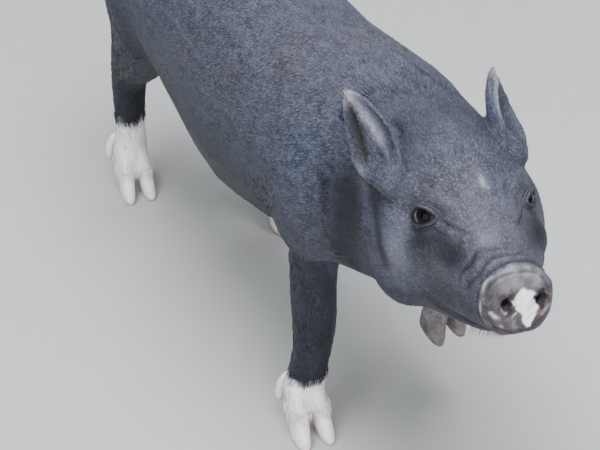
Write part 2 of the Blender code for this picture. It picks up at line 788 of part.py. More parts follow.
def socket(head, side):
    """Opens the almond slit between the lids and hollows the head for an eyeball."""
    matrix = head_matrix() @ eye_matrix(side)
    rings = []
    for out, share in ((0.25, 0.98), (0.9, 1.0), (1.25, 1.08), (2.2, 1.5)):
        centre = Vector((0, out * UNIT, 0))
        wide, tall = share * EYE_HALF_LENGTH * UNIT, share * EYE_HALF_OPENING * UNIT
        rings.append(oval(centre, Vector((1, 0, 0)), Vector((0, 0, 1)), wide, tall, tall * 0.85, 1.7, 20))
    slit = loft("cutter", rings, cutter_collection(), matrix)
    combined(head, slit, "DIFFERENCE")
    removed(slit)
    radius = EYE_RADIUS + SEAM * CURVED_SEAM / UNIT
    hollow = ball("cutter", (0, 0, 0), (radius,) * 3, cutter_collection(), matrix, 18, 12)
    combined(head, hollow, "DIFFERENCE")
    removed(hollow)


def material(name, colour, roughness):
    made = bpy.data.materials.new(name)
    made.use_nodes = True
    shader = made.node_tree.nodes["Principled BSDF"]
    shader.inputs["Base Color"].default_value = (*colour, 1.0)
    shader.inputs["Roughness"].default_value = roughness
    shader.inputs["Metallic"].default_value = 0.0
    return made


def dress(pieces, made):
    for piece in pieces:
        piece.data.materials.clear()
        piece.data.materials.append(made)


def hang_on_empty(pieces, collection):
    """Gives each piece an origin at its own middle and hangs it on an empty.

    The empty is set so that the whole stands on the floor with its box centred on the origin.
    """
    corners = np.vstack([coordinates(piece.data) for piece in pieces])
    low, high = corners.min(axis=0), corners.max(axis=0)
    stand = bpy.data.objects.new("stand", None)
    collection.objects.link(stand)
    stand.location = (-(low[0] + high[0]) / 2, -(low[1] + high[1]) / 2, -low[2])
    for piece in pieces:
        points = coordinates(piece.data)
        middle = Vector((points.min(axis=0) + points.max(axis=0)) / 2)
        piece.data.transform(Matrix.Translation(-middle))
        piece.location = middle
        piece.parent = stand


def build():
    for obj in list(bpy.data.objects):
        bpy.data.objects.remove(obj)
    collection = bpy.data.collections.new("pot_bellied_pig")
    bpy.context.scene.collection.children.link(collection)

    torso = skin_object(collection)
    legs = {}
    hooves = []
    for foot in FEET:
        legs[foot[0]] = split_by_ball(torso, "leg_" + foot[0], *LEG_BALLS[foot[0]], collection)
    axes = head_matrix()
    nape = axes @ scaled((0, -HEAD_NECK_CUT, -2.0))
    forward = axes.to_3x3() @ Vector((0, -1, 0))
    head, torso = split_by_plane(torso, ("head", "trunk"), nape, forward, collection)
    tilt = Vector((0, -math.cos(NECK_TORSO_CUT_TILT), -math.sin(NECK_TORSO_CUT_TILT)))
    neck, torso = split_by_plane(torso, ("neck", "torso"), scaled(NECK_TORSO_CUT_AT), tilt, collection)
    torso.name = "torso"

    ears = [ear("ear_" + row[0], *row[1:], (head, neck, torso), collection) for row in EARS]
    nostrils(head)
    eyes = []
    for side, label in ((1, "left"), (-1, "right")):
        socket(head, side)
        eyes.append(eyeball("eye_" + label, side, collection))
    tail_piece = tail(torso, collection)
    for foot in FEET:
        leg = legs[foot[0]]
        trim_toes(leg, foot)
        for side, label in ((1, "left"), (-1, "right")):
            hooves.append(hoof(f"hoof_{foot[0]}_{label}", foot, side, collection))
            hooves.append(dewclaw(f"dewclaw_{foot[0]}_{label}", foot, side, leg, collection))

    coat = material("black_coat", COAT_BLACK, 0.6)
    flesh = [torso, neck, head, tail_piece, *ears, *legs.values()]
    dress(flesh, coat)
    dress(eyes, material("eye", EYE_BROWN, 0.1))
    dress(hooves, material("horn", HORN_PINK, 0.45))
    hang_on_empty([*flesh, *eyes, *hooves], collection)
    bpy.data.collections.remove(cutter_collection())
    for piece in [*flesh, *eyes]:
        piece.data.shade_smooth()


build()
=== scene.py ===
"""Young pot-bellied pig in mid step: one skin, a short coat, wet eyes and horn toes, over the solids."""

import logging
import math
from dataclasses import dataclass, field
from enum import IntEnum

import bmesh
import bpy
import numpy as np
from mathutils import Matrix, Vector
from mathutils.bvhtree import BVHTree


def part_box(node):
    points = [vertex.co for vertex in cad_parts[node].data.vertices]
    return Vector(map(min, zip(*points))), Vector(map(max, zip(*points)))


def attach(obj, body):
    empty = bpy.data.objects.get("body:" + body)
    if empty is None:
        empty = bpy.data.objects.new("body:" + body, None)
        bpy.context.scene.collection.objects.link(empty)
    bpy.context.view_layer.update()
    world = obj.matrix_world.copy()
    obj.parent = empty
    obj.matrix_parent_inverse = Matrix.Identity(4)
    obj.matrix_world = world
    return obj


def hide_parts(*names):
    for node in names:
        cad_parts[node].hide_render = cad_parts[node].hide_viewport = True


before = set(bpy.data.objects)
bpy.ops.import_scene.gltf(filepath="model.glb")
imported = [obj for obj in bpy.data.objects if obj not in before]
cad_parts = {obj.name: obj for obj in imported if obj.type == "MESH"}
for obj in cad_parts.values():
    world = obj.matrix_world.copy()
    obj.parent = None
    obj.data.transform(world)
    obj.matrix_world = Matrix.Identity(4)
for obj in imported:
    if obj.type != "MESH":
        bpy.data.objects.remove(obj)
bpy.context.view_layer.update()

LOG = logging.getLogger("pig")

# One hundredth of a metre: the head's own measures are in these
CM = 0.01
# Vertices of a solid that are closer than this are one
WELD = 1e-5

SIDES = ("left", "right")


class Region(IntEnum):
    """The parts of the body that the coat treats differently, in the order of the flesh nodes."""

    TORSO = 0
    NECK = 1
    HEAD = 2
    EAR_LEFT = 3
    EAR_RIGHT = 4
    TAIL = 5
    LEG_FRONT_LEFT = 6
    LEG_FRONT_RIGHT = 7
    LEG_HIND_LEFT = 8
    LEG_HIND_RIGHT = 9


EAR_PAIR = (Region.EAR_LEFT, Region.EAR_RIGHT)
LEGS = tuple(Region)[Region.LEG_FRONT_LEFT:]
FLESH_NODES = tuple(place.name.lower() for place in Region)
FEET = tuple(place.name.lower().removeprefix("leg_") for place in LEGS)


def eased(value: np.ndarray, low: float, high: float) -> np.ndarray:
    """Ramps the value smoothly from 0 at low to 1 at high."""
    t = np.clip((value - low) / (high - low), 0.0, 1.0)
    return t * t * (3 - 2 * t)


def bell(value: np.ndarray, middle: float, spread: float) -> np.ndarray:
    """A smooth hump of height 1 about middle."""
    return np.exp(-(((value - middle) / spread) ** 2))


def ripple(points: np.ndarray, size: float, seed: int, waves: int = 7) -> np.ndarray:
    """Smooth noise between about -1 and 1.

    Args:
        points: Places, one a row.
        size: The rough size of its bumps, in the points' unit.
        seed: Which pattern.
        waves: How many waves are added.

    Returns:
        One number for each place.
    """
    rng = np.random.default_rng(seed)
    total = np.zeros(len(points))
    for _ in range(waves):
        way = rng.normal(size=3)
        way *= 2 * math.pi / (size * rng.uniform(1.2, 2.8) * np.linalg.norm(way))
        total += np.sin(points @ way + rng.uniform(0, 2 * math.pi))
    return total / math.sqrt(waves)


def unit(vectors: np.ndarray) -> np.ndarray:
    """The vectors, each made one long."""
    return vectors / np.maximum(np.linalg.norm(vectors, axis=1, keepdims=True), 1e-12)


def read(items: bpy.types.bpy_prop_collection, name: str, width: int, kind: type = float) -> np.ndarray:
    """Reads one attribute of many mesh items.

    Args:
        items: The items, such as a mesh's vertices.
        name: The attribute.
        width: How many numbers it has.
        kind: Their kind.

    Returns:
        One row an item.
    """
    flat = np.empty(len(items) * width, kind)
    items.foreach_get(name, flat)
    return flat.reshape(-1, width)


def places(mesh: bpy.types.Mesh) -> np.ndarray:
    """The mesh's vertices, one a row."""
    return read(mesh.vertices, "co", 3)


def facings(mesh: bpy.types.Mesh) -> np.ndarray:
    """The mesh's vertex normals, one a row."""
    return read(mesh.vertices, "normal", 3)


def set_places(mesh: bpy.types.Mesh, points: np.ndarray) -> None:
    """Moves the mesh's vertices."""
    mesh.vertices.foreach_set("co", np.ascontiguousarray(points, dtype=np.float32).ravel())
    mesh.update()


def triangles_of(mesh: bpy.types.Mesh) -> np.ndarray:
    """The mesh's triangles as triples of vertex numbers."""
    mesh.calc_loop_triangles()
    return read(mesh.loop_triangles, "vertices", 3, np.int32)


def set_number(mesh: bpy.types.Mesh, name: str, values: np.ndarray) -> None:
    """Stores one number a vertex under a name, for a material to read."""
    layer = mesh.attributes.get(name) or mesh.attributes.new(name, "FLOAT", "POINT")
    layer.data.foreach_set("value", np.ascontiguousarray(values, dtype=np.float32))


def new_object(name: str, mesh: bpy.types.Mesh) -> bpy.types.Object:
    """An object in the scene, alone selected and active.

    Args:
        name: Its name.
        mesh: Its mesh.

    Returns:
        The object.
    """
    obj = bpy.data.objects.new(name, mesh)
    bpy.context.scene.collection.objects.link(obj)
    alone(obj)
    return obj


def alone(obj: bpy.types.Object) -> None:
    """Selects only this object and makes it active.

    Args:
        obj: The object.
    """
    bpy.ops.object.select_all(action="DESELECT")
    obj.select_set(True)
    bpy.context.view_layer.objects.active = obj


def apply_all(obj: bpy.types.Object) -> None:
    """Applies the object's modifiers in order.

    Args:
        obj: The object.
    """
    alone(obj)
    for modifier in list(obj.modifiers):
        bpy.ops.object.modifier_apply(modifier=modifier.name)


def remeshed(obj: bpy.types.Object, grain: float) -> None:
    """Makes an object's mesh anew from voxels.

    Args:
        obj: The object.
        grain: The voxels' size.
    """
    remesh = obj.modifiers.new("remesh", "REMESH")
    remesh.mode = "VOXEL"
    remesh.voxel_size = grain
    apply_all(obj)


class Web:
    """A mesh's edges, for means over each vertex's neighbours."""

    def __init__(self, mesh: bpy.types.Mesh) -> None:
        """Reads the edges and counts each vertex's neighbours.

        Args:
            mesh: The mesh.
        """
        self.ends = read(mesh.edges, "vertices", 2, np.int32)
        found = np.bincount(self.ends.ravel(), minlength=len(mesh.vertices))
        self.degree = np.maximum(found, 1).astype(float)

    def brought(self, to_first: np.ndarray, to_second: np.ndarray) -> np.ndarray:
        """Each vertex's mean of the numbers that its edges bring.

        Args:
            to_first: What each edge brings to its first vertex.
            to_second: What it brings to its second.

        Returns:
            One number a vertex.
        """
        first, second = self.ends.T
        count = len(self.degree)
        return (np.bincount(first, to_first, count) + np.bincount(second, to_second, count)) / self.degree

    def mean(self, values: np.ndarray) -> np.ndarray:
        """Each vertex's mean over its neighbours.

        Args:
            values: One number or one row a vertex.

        Returns:
            As many means.
        """
        if values.ndim == 1:
            first, second = self.ends.T
            return self.brought(values[second], values[first])
        return np.stack([self.mean(column) for column in values.T], axis=1)

    def spans(self, points: np.ndarray) -> np.ndarray:
        """Each vertex's mean edge length.

        Args:
            points: The vertices.

        Returns:
            One length a vertex.
        """
        first, second = self.ends.T
        lengths = np.linalg.norm(points[first] - points[second], axis=1)
        return self.brought(lengths, lengths)

    def blurred(self, values: np.ndarray, rounds: int) -> np.ndarray:
        """The values after some rounds of means.

        Args:
            values: One number or one row a vertex.
            rounds: How many rounds.

        Returns:
            As many values.
        """
        for _ in range(rounds):
            values = self.mean(values)
        return values

    def smoothed(self, points: np.ndarray, rounds: int, pulls: tuple, rate: object = 1.0) -> np.ndarray:
        """Smooths a surface.

        Args:
            points: Its vertices.
            rounds: How many rounds.
            pulls: How far each pass of a round goes to the mean. A pass back keeps the volume.
            rate: How strongly, in all or for each vertex.

        Returns:
            The smoothed vertices.
        """
        for _ in range(rounds):
            for pull in pulls:
                points = points + pull * rate * (self.mean(points) - points)
        return points


@dataclass(frozen=True)
class Axes:
    """A frame of its own: an origin in metres and three axes as columns; its measures are in centimetres."""

    origin: np.ndarray
    columns: np.ndarray

    def into(self, points: np.ndarray) -> np.ndarray:
        """World places in this frame."""
        return (points - self.origin) @ self.columns / CM

    def out_of(self, local: np.ndarray) -> np.ndarray:
        """Places in this frame, in the world."""
        return local @ self.columns.T * CM + self.origin

    def turned(self, local_origin: tuple, turn: Matrix) -> "Axes":
        """A frame set in this one, with its origin in centimetres and its axes as a matrix."""
        return Axes(self.out_of(np.array(local_origin, float)), self.columns @ np.array(turn))


@dataclass
class HeadPlan:
    """Where the head's features are, as the solids have them."""

    yaw: float = math.radians(-8.8)
    raised: float = math.radians(7.1)
    roll: float = math.radians(1.8)
    eye_back: float = 0.1
    eye_up: float = -0.1
    eye_apart: float = 2.65
    eye_radius: float = 1.0
    eye_looks: tuple = (0.80, 0.52, 0.30)
    eye_slant: float = math.radians(-14.0)
    slit_half_length: float = 0.74
    far_squint: float = 0.74
    slit_half_opening: float = 0.47
    slit_power: float = 1.7
    disc_at: tuple = (0.0, -7.0, -2.5)
    disc_raised: float = math.radians(9.0)
    disc_half_width: float = 2.3
    disc_half_height: float = 2.1
    nostril_apart: float = 1.0
    nostril_shift: float = 0.36
    mouth: tuple = (1.2, 6.4, -4.3, -4.75, 0.35)
    axes: Axes = field(init=False)
    disc: Axes = field(init=False)

    def __post_init__(self) -> None:
        """Finds the head's axes from the eyeballs of the solids."""
        turn = (
            Matrix.Rotation(self.yaw, 3, "Z")
            @ Matrix.Rotation(-self.raised, 3, "X")
            @ Matrix.Rotation(self.roll, 3, "Y")
        )
        middle = Vector((0, 0, 0))
        for side in SIDES:
            low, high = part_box("eye_" + side)
            middle += (low + high) / 4
        origin = middle - turn @ Vector((0, self.eye_back, self.eye_up)) * CM
        self.axes = Axes(np.array(origin), np.array(turn))
        self.disc = self.axes.turned(self.disc_at, Matrix.Rotation(-self.disc_raised, 3, "X"))

    def eye(self, side: int) -> Axes:
        """An eye's frame: X along the slit, Y out of the pupil, Z across the slit.

        Args:
            side: 1 for the left eye, -1 for the right.

        Returns:
            The frame about the eyeball's centre.
        """
        look = Vector((side * self.eye_looks[0], -self.eye_looks[1], self.eye_looks[2])).normalized()
        slit = look.cross(Vector((0, 0, 1))).normalized()
        slit = Matrix.Rotation(side * self.eye_slant, 3, look) @ slit
        upward = slit.cross(look)
        place = Matrix((slit, look, upward)).transposed()
        return self.axes.turned((side * self.eye_apart, self.eye_back, self.eye_up), place)

    def almond(self, local: np.ndarray, side: int) -> np.ndarray:
        """How far out from the slit's middle a place is: 1 on the lids' edge.

        Args:
            local: Places in an eye's frame.
            side: 1 for the left eye, which is held narrower, -1 for the right.

        Returns:
            One number a place.
        """
        local = local / self.squint(side)
        opening = np.where(local[:, 2] > 0, self.slit_half_opening, self.slit_half_opening * 0.85)
        along = np.abs(local[:, 0] / self.slit_half_length) ** self.slit_power
        return (along + np.abs(local[:, 2] / opening) ** self.slit_power) ** (1 / self.slit_power)

    def squint(self, side: int) -> float:
        """How much of its full size an eye's slit has."""
        return self.far_squint if side > 0 else 1.0

    def beside_eye(
        self, points: np.ndarray, side: int, reach: float, front: float = 0.0,
    ) -> tuple[np.ndarray, np.ndarray]:
        """Which places are close to an eye and before it.

        Args:
            points: World places.
            side: 1 for the left eye, -1 for the right.
            reach: How close, in centimetres from its centre.
            front: How far before its centre.

        Returns:
            Whether each place is, and how far out from the slit it is.
        """
        local = self.eye(side).into(points)
        near = (np.linalg.norm(local, axis=1) < reach) & (local[:, 1] > front)
        return near, self.almond(local, side)

    def disc_ring(self, at: np.ndarray) -> np.ndarray:
        """How far out from the disc's middle places in its frame are: 1 at the rim.

        Args:
            at: Places in the disc's frame.

        Returns:
            One number a place.
        """
        across = (np.abs(at[:, 0]) / self.disc_half_width) ** 2.4
        upright = (np.abs(at[:, 2]) / self.disc_half_height) ** 2.4
        return (across + upright) ** (1 / 2.4)

    def nostril_ring(self, at: np.ndarray, side: int) -> np.ndarray:
        """How far out from a nostril's middle places in the disc's frame are: 1 at its edge."""
        across = (at[:, 0] - side * self.nostril_apart) / 0.42
        return np.sqrt(across**2 + ((at[:, 2] - 0.05) / 0.52) ** 2)

    def muzzle_arcs(self, at: np.ndarray) -> tuple[np.ndarray, np.ndarray]:
        """How far behind the disc places lie on the muzzle's bowed arcs, and how strong the arcs are."""
        bowed = at[:, 1] + 0.16 * at[:, 0] + 0.20 * ripple(at, 1.4, 7)
        return bowed, 0.65 + 0.55 * ripple(at, 1.1, 6)


class Socket:
    """Wraps a shader socket, so that sums on it add Math nodes."""

    def __init__(self, graph: "Graph", socket: bpy.types.NodeSocket) -> None:
        """Keeps the graph and the socket."""
        self.graph = graph
        self.socket = socket

    def _math(self, operation: str, *values: object) -> "Socket":
        """The result of one Math node on numbers or sockets, in order."""
        return self.graph.node("Math", {"operation": operation}, *values)

    def __add__(self, other: object) -> "Socket":
        """This plus the other."""
        return self._math("ADD", self, other)

    __radd__ = __add__

    def __sub__(self, other: object) -> "Socket":
        """This less the other."""
        return self._math("SUBTRACT", self, other)

    def __rsub__(self, other: object) -> "Socket":
        """The other less this."""
        return self._math("SUBTRACT", other, self)

    def __mul__(self, other: object) -> "Socket":
        """This times the other."""
        return self._math("MULTIPLY", self, other)

    __rmul__ = __mul__

    def __truediv__(self, other: object) -> "Socket":
        """This over the other."""
        return self._math("DIVIDE", self, other)

    def __pow__(self, other: object) -> "Socket":
        """This to a power."""
        return self._math("POWER", self, other)

    def held(self) -> "Socket":
        """This, kept between 0 and 1."""
        return self.graph.node("Clamp", {}, self)

    def stepped(self, low: float, high: float) -> "Socket":
        """This, ramped smoothly from 0 at low to 1 at high."""
        return self.graph.node("MapRange", {"interpolation_type": "SMOOTHSTEP"}, self, low, high, 0.0, 1.0)


class Graph:
    """A material and its nodes, built by expressions."""

    def __init__(self, name: str) -> None:
        """Starts a material with one Principled shader.

        Args:
            name: The material's name.
        """
        self.material = bpy.data.materials.new(name)
        self.material.use_nodes = True
        self.tree = self.material.node_tree
        self.shader = next(n for n in self.tree.nodes if n.type == "BSDF_PRINCIPLED")

    def node(self, kind: str, settings: dict, *values: object, out: int | str = 0, **named: object) -> Socket:
        """Adds a node.

        Args:
            kind: The node's type without its ShaderNode prefix.
            settings: Its own settings, set before its sockets.
            values: Values or links for its first sockets, in order.
            out: Which output to hand back.
            named: Values or links by socket name, with _ for a space.

        Returns:
            The chosen output.
        """
        made = self.tree.nodes.new("ShaderNode" + kind)
        for key, value in settings.items():
            setattr(made, key, value)
        for index, value in enumerate(values):
            self.feed(made.inputs[index], value)
        for key, value in named.items():
            self.feed(made.inputs[key.replace("_", " ")], value)
        return Socket(self, made.outputs[out])

    def feed(self, target: bpy.types.NodeSocket, value: object) -> None:
        """Links or sets one input socket.

        Args:
            target: The input.
            value: A link, a number or a colour.
        """
        if isinstance(value, Socket):
            self.tree.links.new(value.socket, target)
        elif target.type == "RGBA" and len(value) == 3:
            target.default_value = (*value, 1.0)
        else:
            target.default_value = value

    def mixed(self, factor: object, first: object, second: object, blend: str = "MIX") -> Socket:
        """Mixes two colours.

        Args:
            factor: How much of the second.
            first: A colour or a socket.
            second: A colour or a socket.
            blend: The Mix node's blending.

        Returns:
            The mixed colour.
        """
        made = self.tree.nodes.new("ShaderNodeMix")
        made.data_type = "RGBA"
        made.blend_type = blend
        self.feed(made.inputs[0], factor)
        self.feed(made.inputs[6], first)
        self.feed(made.inputs[7], second)
        return Socket(self, made.outputs[2])

    def layered(self, colour: object, *layers: tuple) -> Socket:
        """Lays colours over one another.

        Args:
            colour: The lowest, a colour or a socket.
            layers: How much of each next one, and the colour itself.

        Returns:
            The uppermost result.
        """
        for factor, over in layers:
            colour = self.mixed(factor, colour, over)
        return colour

    def number(self, name: str) -> Socket:
        """A number stored on the mesh."""
        return self.node("Attribute", {"attribute_name": name}, out="Fac")

    def place(self, stretch: tuple = (1.0, 1.0, 1.0), turn: tuple = (0.0, 0.0, 0.0)) -> Socket:
        """The object's own coordinates, turned and stretched."""
        at = self.node("TexCoord", {}, out="Object")
        return self.node("Mapping", {}, Vector=at, Rotation=turn, Scale=stretch)

    def noise(self, at: Socket, scale: float, detail: float = 3.0, roughness: float = 0.55) -> Socket:
        """Soft noise between 0 and 1, with so many bumps a metre and so many finer layers."""
        return self.node("TexNoise", {}, Vector=at, Scale=scale, Detail=detail, Roughness=roughness)

    def cells(self, at: Socket, scale: float) -> Socket:
        """How far a place is from the edge of its cell, with so many cells a metre."""
        settings = {"feature": "DISTANCE_TO_EDGE"}
        return self.node("TexVoronoi", settings, Vector=at, Scale=scale, out="Distance")

    def bump(
        self, height: Socket, distance: float, strength: float = 1.0, after: Socket | None = None,
    ) -> Socket:
        """Turns a height into a normal.

        Args:
            height: The height, about 0 to 1.
            distance: What 1 is, in metres.
            strength: How much of it shows.
            after: A normal to start from.

        Returns:
            The normal.
        """
        named = {"Height": height, "Distance": distance, "Strength": strength}
        if after is not None:
            named["Normal"] = after
        return self.node("Bump", {}, **named)

    def finish(self, **sockets: object) -> bpy.types.Material:
        """Sets the shader's sockets.

        Args:
            sockets: Values or links by socket name, with _ for a space.

        Returns:
            The material.
        """
        for key, value in sockets.items():
            self.feed(self.shader.inputs[key.replace("_", " ")], value)
        return self.material


def path_distance(points: np.ndarray, path: list) -> tuple[np.ndarray, np.ndarray]:
    """How far points are from a line of straight stretches.

    Args:
        points: Places, one a row.
        path: The line's corners, in the same unit.

    Returns:
        The distance, and how far along the line the nearest place is, from 0 to 1.
    """
    corners = np.array(path, float)
    lengths = np.linalg.norm(np.diff(corners, axis=0), axis=1)
    starts = np.concatenate([[0.0], np.cumsum(lengths)])
    nearest = np.full(len(points), 1e9)
    along = np.zeros(len(points))
    for index in range(len(corners) - 1):
        step = corners[index + 1] - corners[index]
        t = np.clip((points - corners[index]) @ step / (step @ step), 0.0, 1.0)
        gap = np.linalg.norm(points - corners[index] - t[:, None] * step, axis=1)
        closer = gap < nearest
        nearest[closer] = gap[closer]
        along[closer] = (starts[index] + t[closer] * lengths[index]) / starts[-1]
    return nearest, along


@dataclass(frozen=True)
class Fold:
    """One groove or ridge of the face, drawn as a line in the head's frame."""

    path: tuple
    depth: float
    width: float
    both_sides: bool = True

    def height(self, local: np.ndarray) -> np.ndarray:
        """How far it lifts the skin.

        Args:
            local: Places in the head's frame.

        Returns:
            Centimetres, negative in a groove.
        """
        lift = np.zeros(len(local))
        for side in (1, -1) if self.both_sides else (1,):
            path = [(side * x, y, z) for x, y, z in self.path]
            gap, along = path_distance(local, path)
            fade = eased(along, -0.05, 0.25) * (1 - eased(along, 0.72, 1.05))
            lift += bell(gap, 0.0, self.width) * fade
        return -self.depth * lift


# Grooves are positive depths, ridges negative, all in centimetres
FACE_FOLDS = (
    Fold(
        ((2.62, -1.15, 0.12), (2.35, -1.75, 0.18), (2.05, -2.4, 0.16), (1.7, -2.95, 0.17),
         (1.4, -3.15, 0.22)),
        0.17, 0.14,
    ),
    Fold(((2.9, -1.0, -0.2), (2.55, -1.95, -0.15), (2.2, -2.6, -0.1)), -0.09, 0.18),
    Fold(((3.1, 0.5, 1.6), (2.4, -0.5, 1.55), (1.85, -1.5, 1.1), (1.5, -2.3, 0.75)), -0.13, 0.34),
    Fold(((2.1, -0.3, 1.75), (1.85, -0.6, 1.72), (1.65, -0.85, 1.62), (1.42, -1.25, 1.45)), 0.08, 0.12),
    Fold(((2.35, -0.2, 1.6), (2.1, -0.6, 1.5), (1.8, -1.0, 1.38)), -0.05, 0.12),
    Fold(((2.9, 0.3, 1.75), (2.45, 0.1, 1.95), (2.0, 0.0, 2.1)), 0.045, 0.12),
    Fold(((3.95, 0.9, 0.55), (4.1, 1.2, 0.2), (4.2, 1.35, -0.2)), 0.05, 0.09),
    Fold(((4.0, 1.3, 0.7), (4.25, 1.6, 0.2), (4.35, 1.7, -0.25)), 0.045, 0.09),
    Fold(((3.3, -1.0, -1.05), (3.0, -1.75, -0.95), (2.6, -2.5, -0.75)), 0.05, 0.15),
    Fold(((3.4, -1.4, -1.7), (3.0, -2.3, -1.6), (2.6, -3.1, -1.4)), 0.04, 0.18),
    Fold(
        ((1.6, -5.2, -0.9), (0.9, -5.25, -0.45), (0.0, -5.3, -0.3), (-0.9, -5.25, -0.45),
         (-1.6, -5.2, -0.9)),
        0.09, 0.11, False,
    ),
    Fold(
        ((1.5, -4.5, -0.5), (0.7, -4.55, -0.1), (0.0, -4.6, 0.0), (-0.7, -4.55, -0.1), (-1.5, -4.5, -0.5)),
        0.07, 0.13, False,
    ),
    Fold(
        ((4.9, 4.1, 0.6), (5.1, 3.7, -0.8), (5.25, 2.6, -2.1), (5.1, 1.5, -3.5), (4.6, 0.7, -4.7)),
        0.17, 0.58,
    ),
    Fold(
        ((4.7, 3.1, -0.1), (4.76, 2.05, -0.7), (4.87, 1.4, -1.65), (4.96, 1.1, -2.85), (4.85, 0.76, -4.0)),
        -0.07, 0.6,
    ),
    Fold(((6.35, 5.1, 0.2), (6.35, 5.15, -1.4), (6.3, 5.3, -3.4), (5.9, 6.4, -6.0)), 0.30, 1.0),
    Fold(((5.5, 4.2, -0.9), (5.54, 4.15, -2.95), (5.26, 4.7, -5.2)), -0.10, 0.36),
    Fold(((5.5, 4.4, 1.3), (5.3, 4.25, 0.6), (5.1, 4.0, -0.1)), -0.16, 0.34),
    Fold(((3.3, 5.4, 3.8), (3.15, 4.7, 3.5), (3.2, 4.0, 3.2)), 0.14, 0.30),
    Fold(((0.9, 0.4, 2.5), (0.5, 0.2, 2.52), (0.2, 0.1, 2.5)), 0.03, 0.12),
    Fold(((1.1, 1.1, 2.8), (0.6, 0.9, 2.85), (0.1, 0.8, 2.85)), 0.03, 0.14),
)


@dataclass(frozen=True)
class EarPlan:
    """One ear's line in the head's frame, and where its inner wall and slot run."""

    region: Region
    side: int
    root: tuple
    tip: tuple
    back: tuple
    depth: float
    # How dark the slot's painted shade is
    slot_shade: float

    def measured(self, local: np.ndarray) -> tuple[np.ndarray, np.ndarray]:
        """Places over the ear.

        Args:
            local: Places in the head's frame.

        Returns:
            The share of its length from the root, and centimetres toward its outer rim.
        """
        root = np.array(self.root)
        along = np.array(self.tip) - root
        length = np.linalg.norm(along)
        along /= length
        outer = self.side * np.cross(along, self.opening())
        return (local - root) @ along / length, (local - root) @ outer

    def opening(self) -> np.ndarray:
        """The way that the ear's inside faces, in the head's frame.

        Returns:
            One unit row.
        """
        along = np.array(self.tip) - np.array(self.root)
        along /= np.linalg.norm(along)
        back = np.array(self.back)
        back = back - along * (back @ along)
        return -back / np.linalg.norm(back)

    def slot(self, local: np.ndarray) -> tuple[np.ndarray, np.ndarray]:
        """How far places are from the slot's line and from the wall's.

        Args:
            local: Places in the head's frame.

        Returns:
            Centimetres across to each, larger past the lines' ends.
        """
        share, outer = self.measured(local)
        slot = np.interp(share, (0.20, 0.40, 0.60, 0.80), (1.16, 1.03, 0.79, 0.32))
        wall = np.interp(share, (0.10, 0.27, 0.50, 0.74, 0.86), (-0.60, -0.40, -0.33, -0.14, -0.02))
        past = 2.6 * (np.maximum(0.27 - share, 0) + np.maximum(share - 0.84, 0))
        return np.abs(outer - slot) + past, np.abs(outer - wall) + past


EARS = (
    EarPlan(Region.EAR_LEFT, 1, (4.15, 3.1, 2.15), (3.75, 7.0, 5.35), (-0.65, 0.68, -0.15), 0.05, 0.3),
    EarPlan(Region.EAR_RIGHT, -1, (-4.8, 2.95, 1.85), (-5.73, 6.34, 5.67), (0.74, 0.60, -0.20), 0.15, 1.0),
)


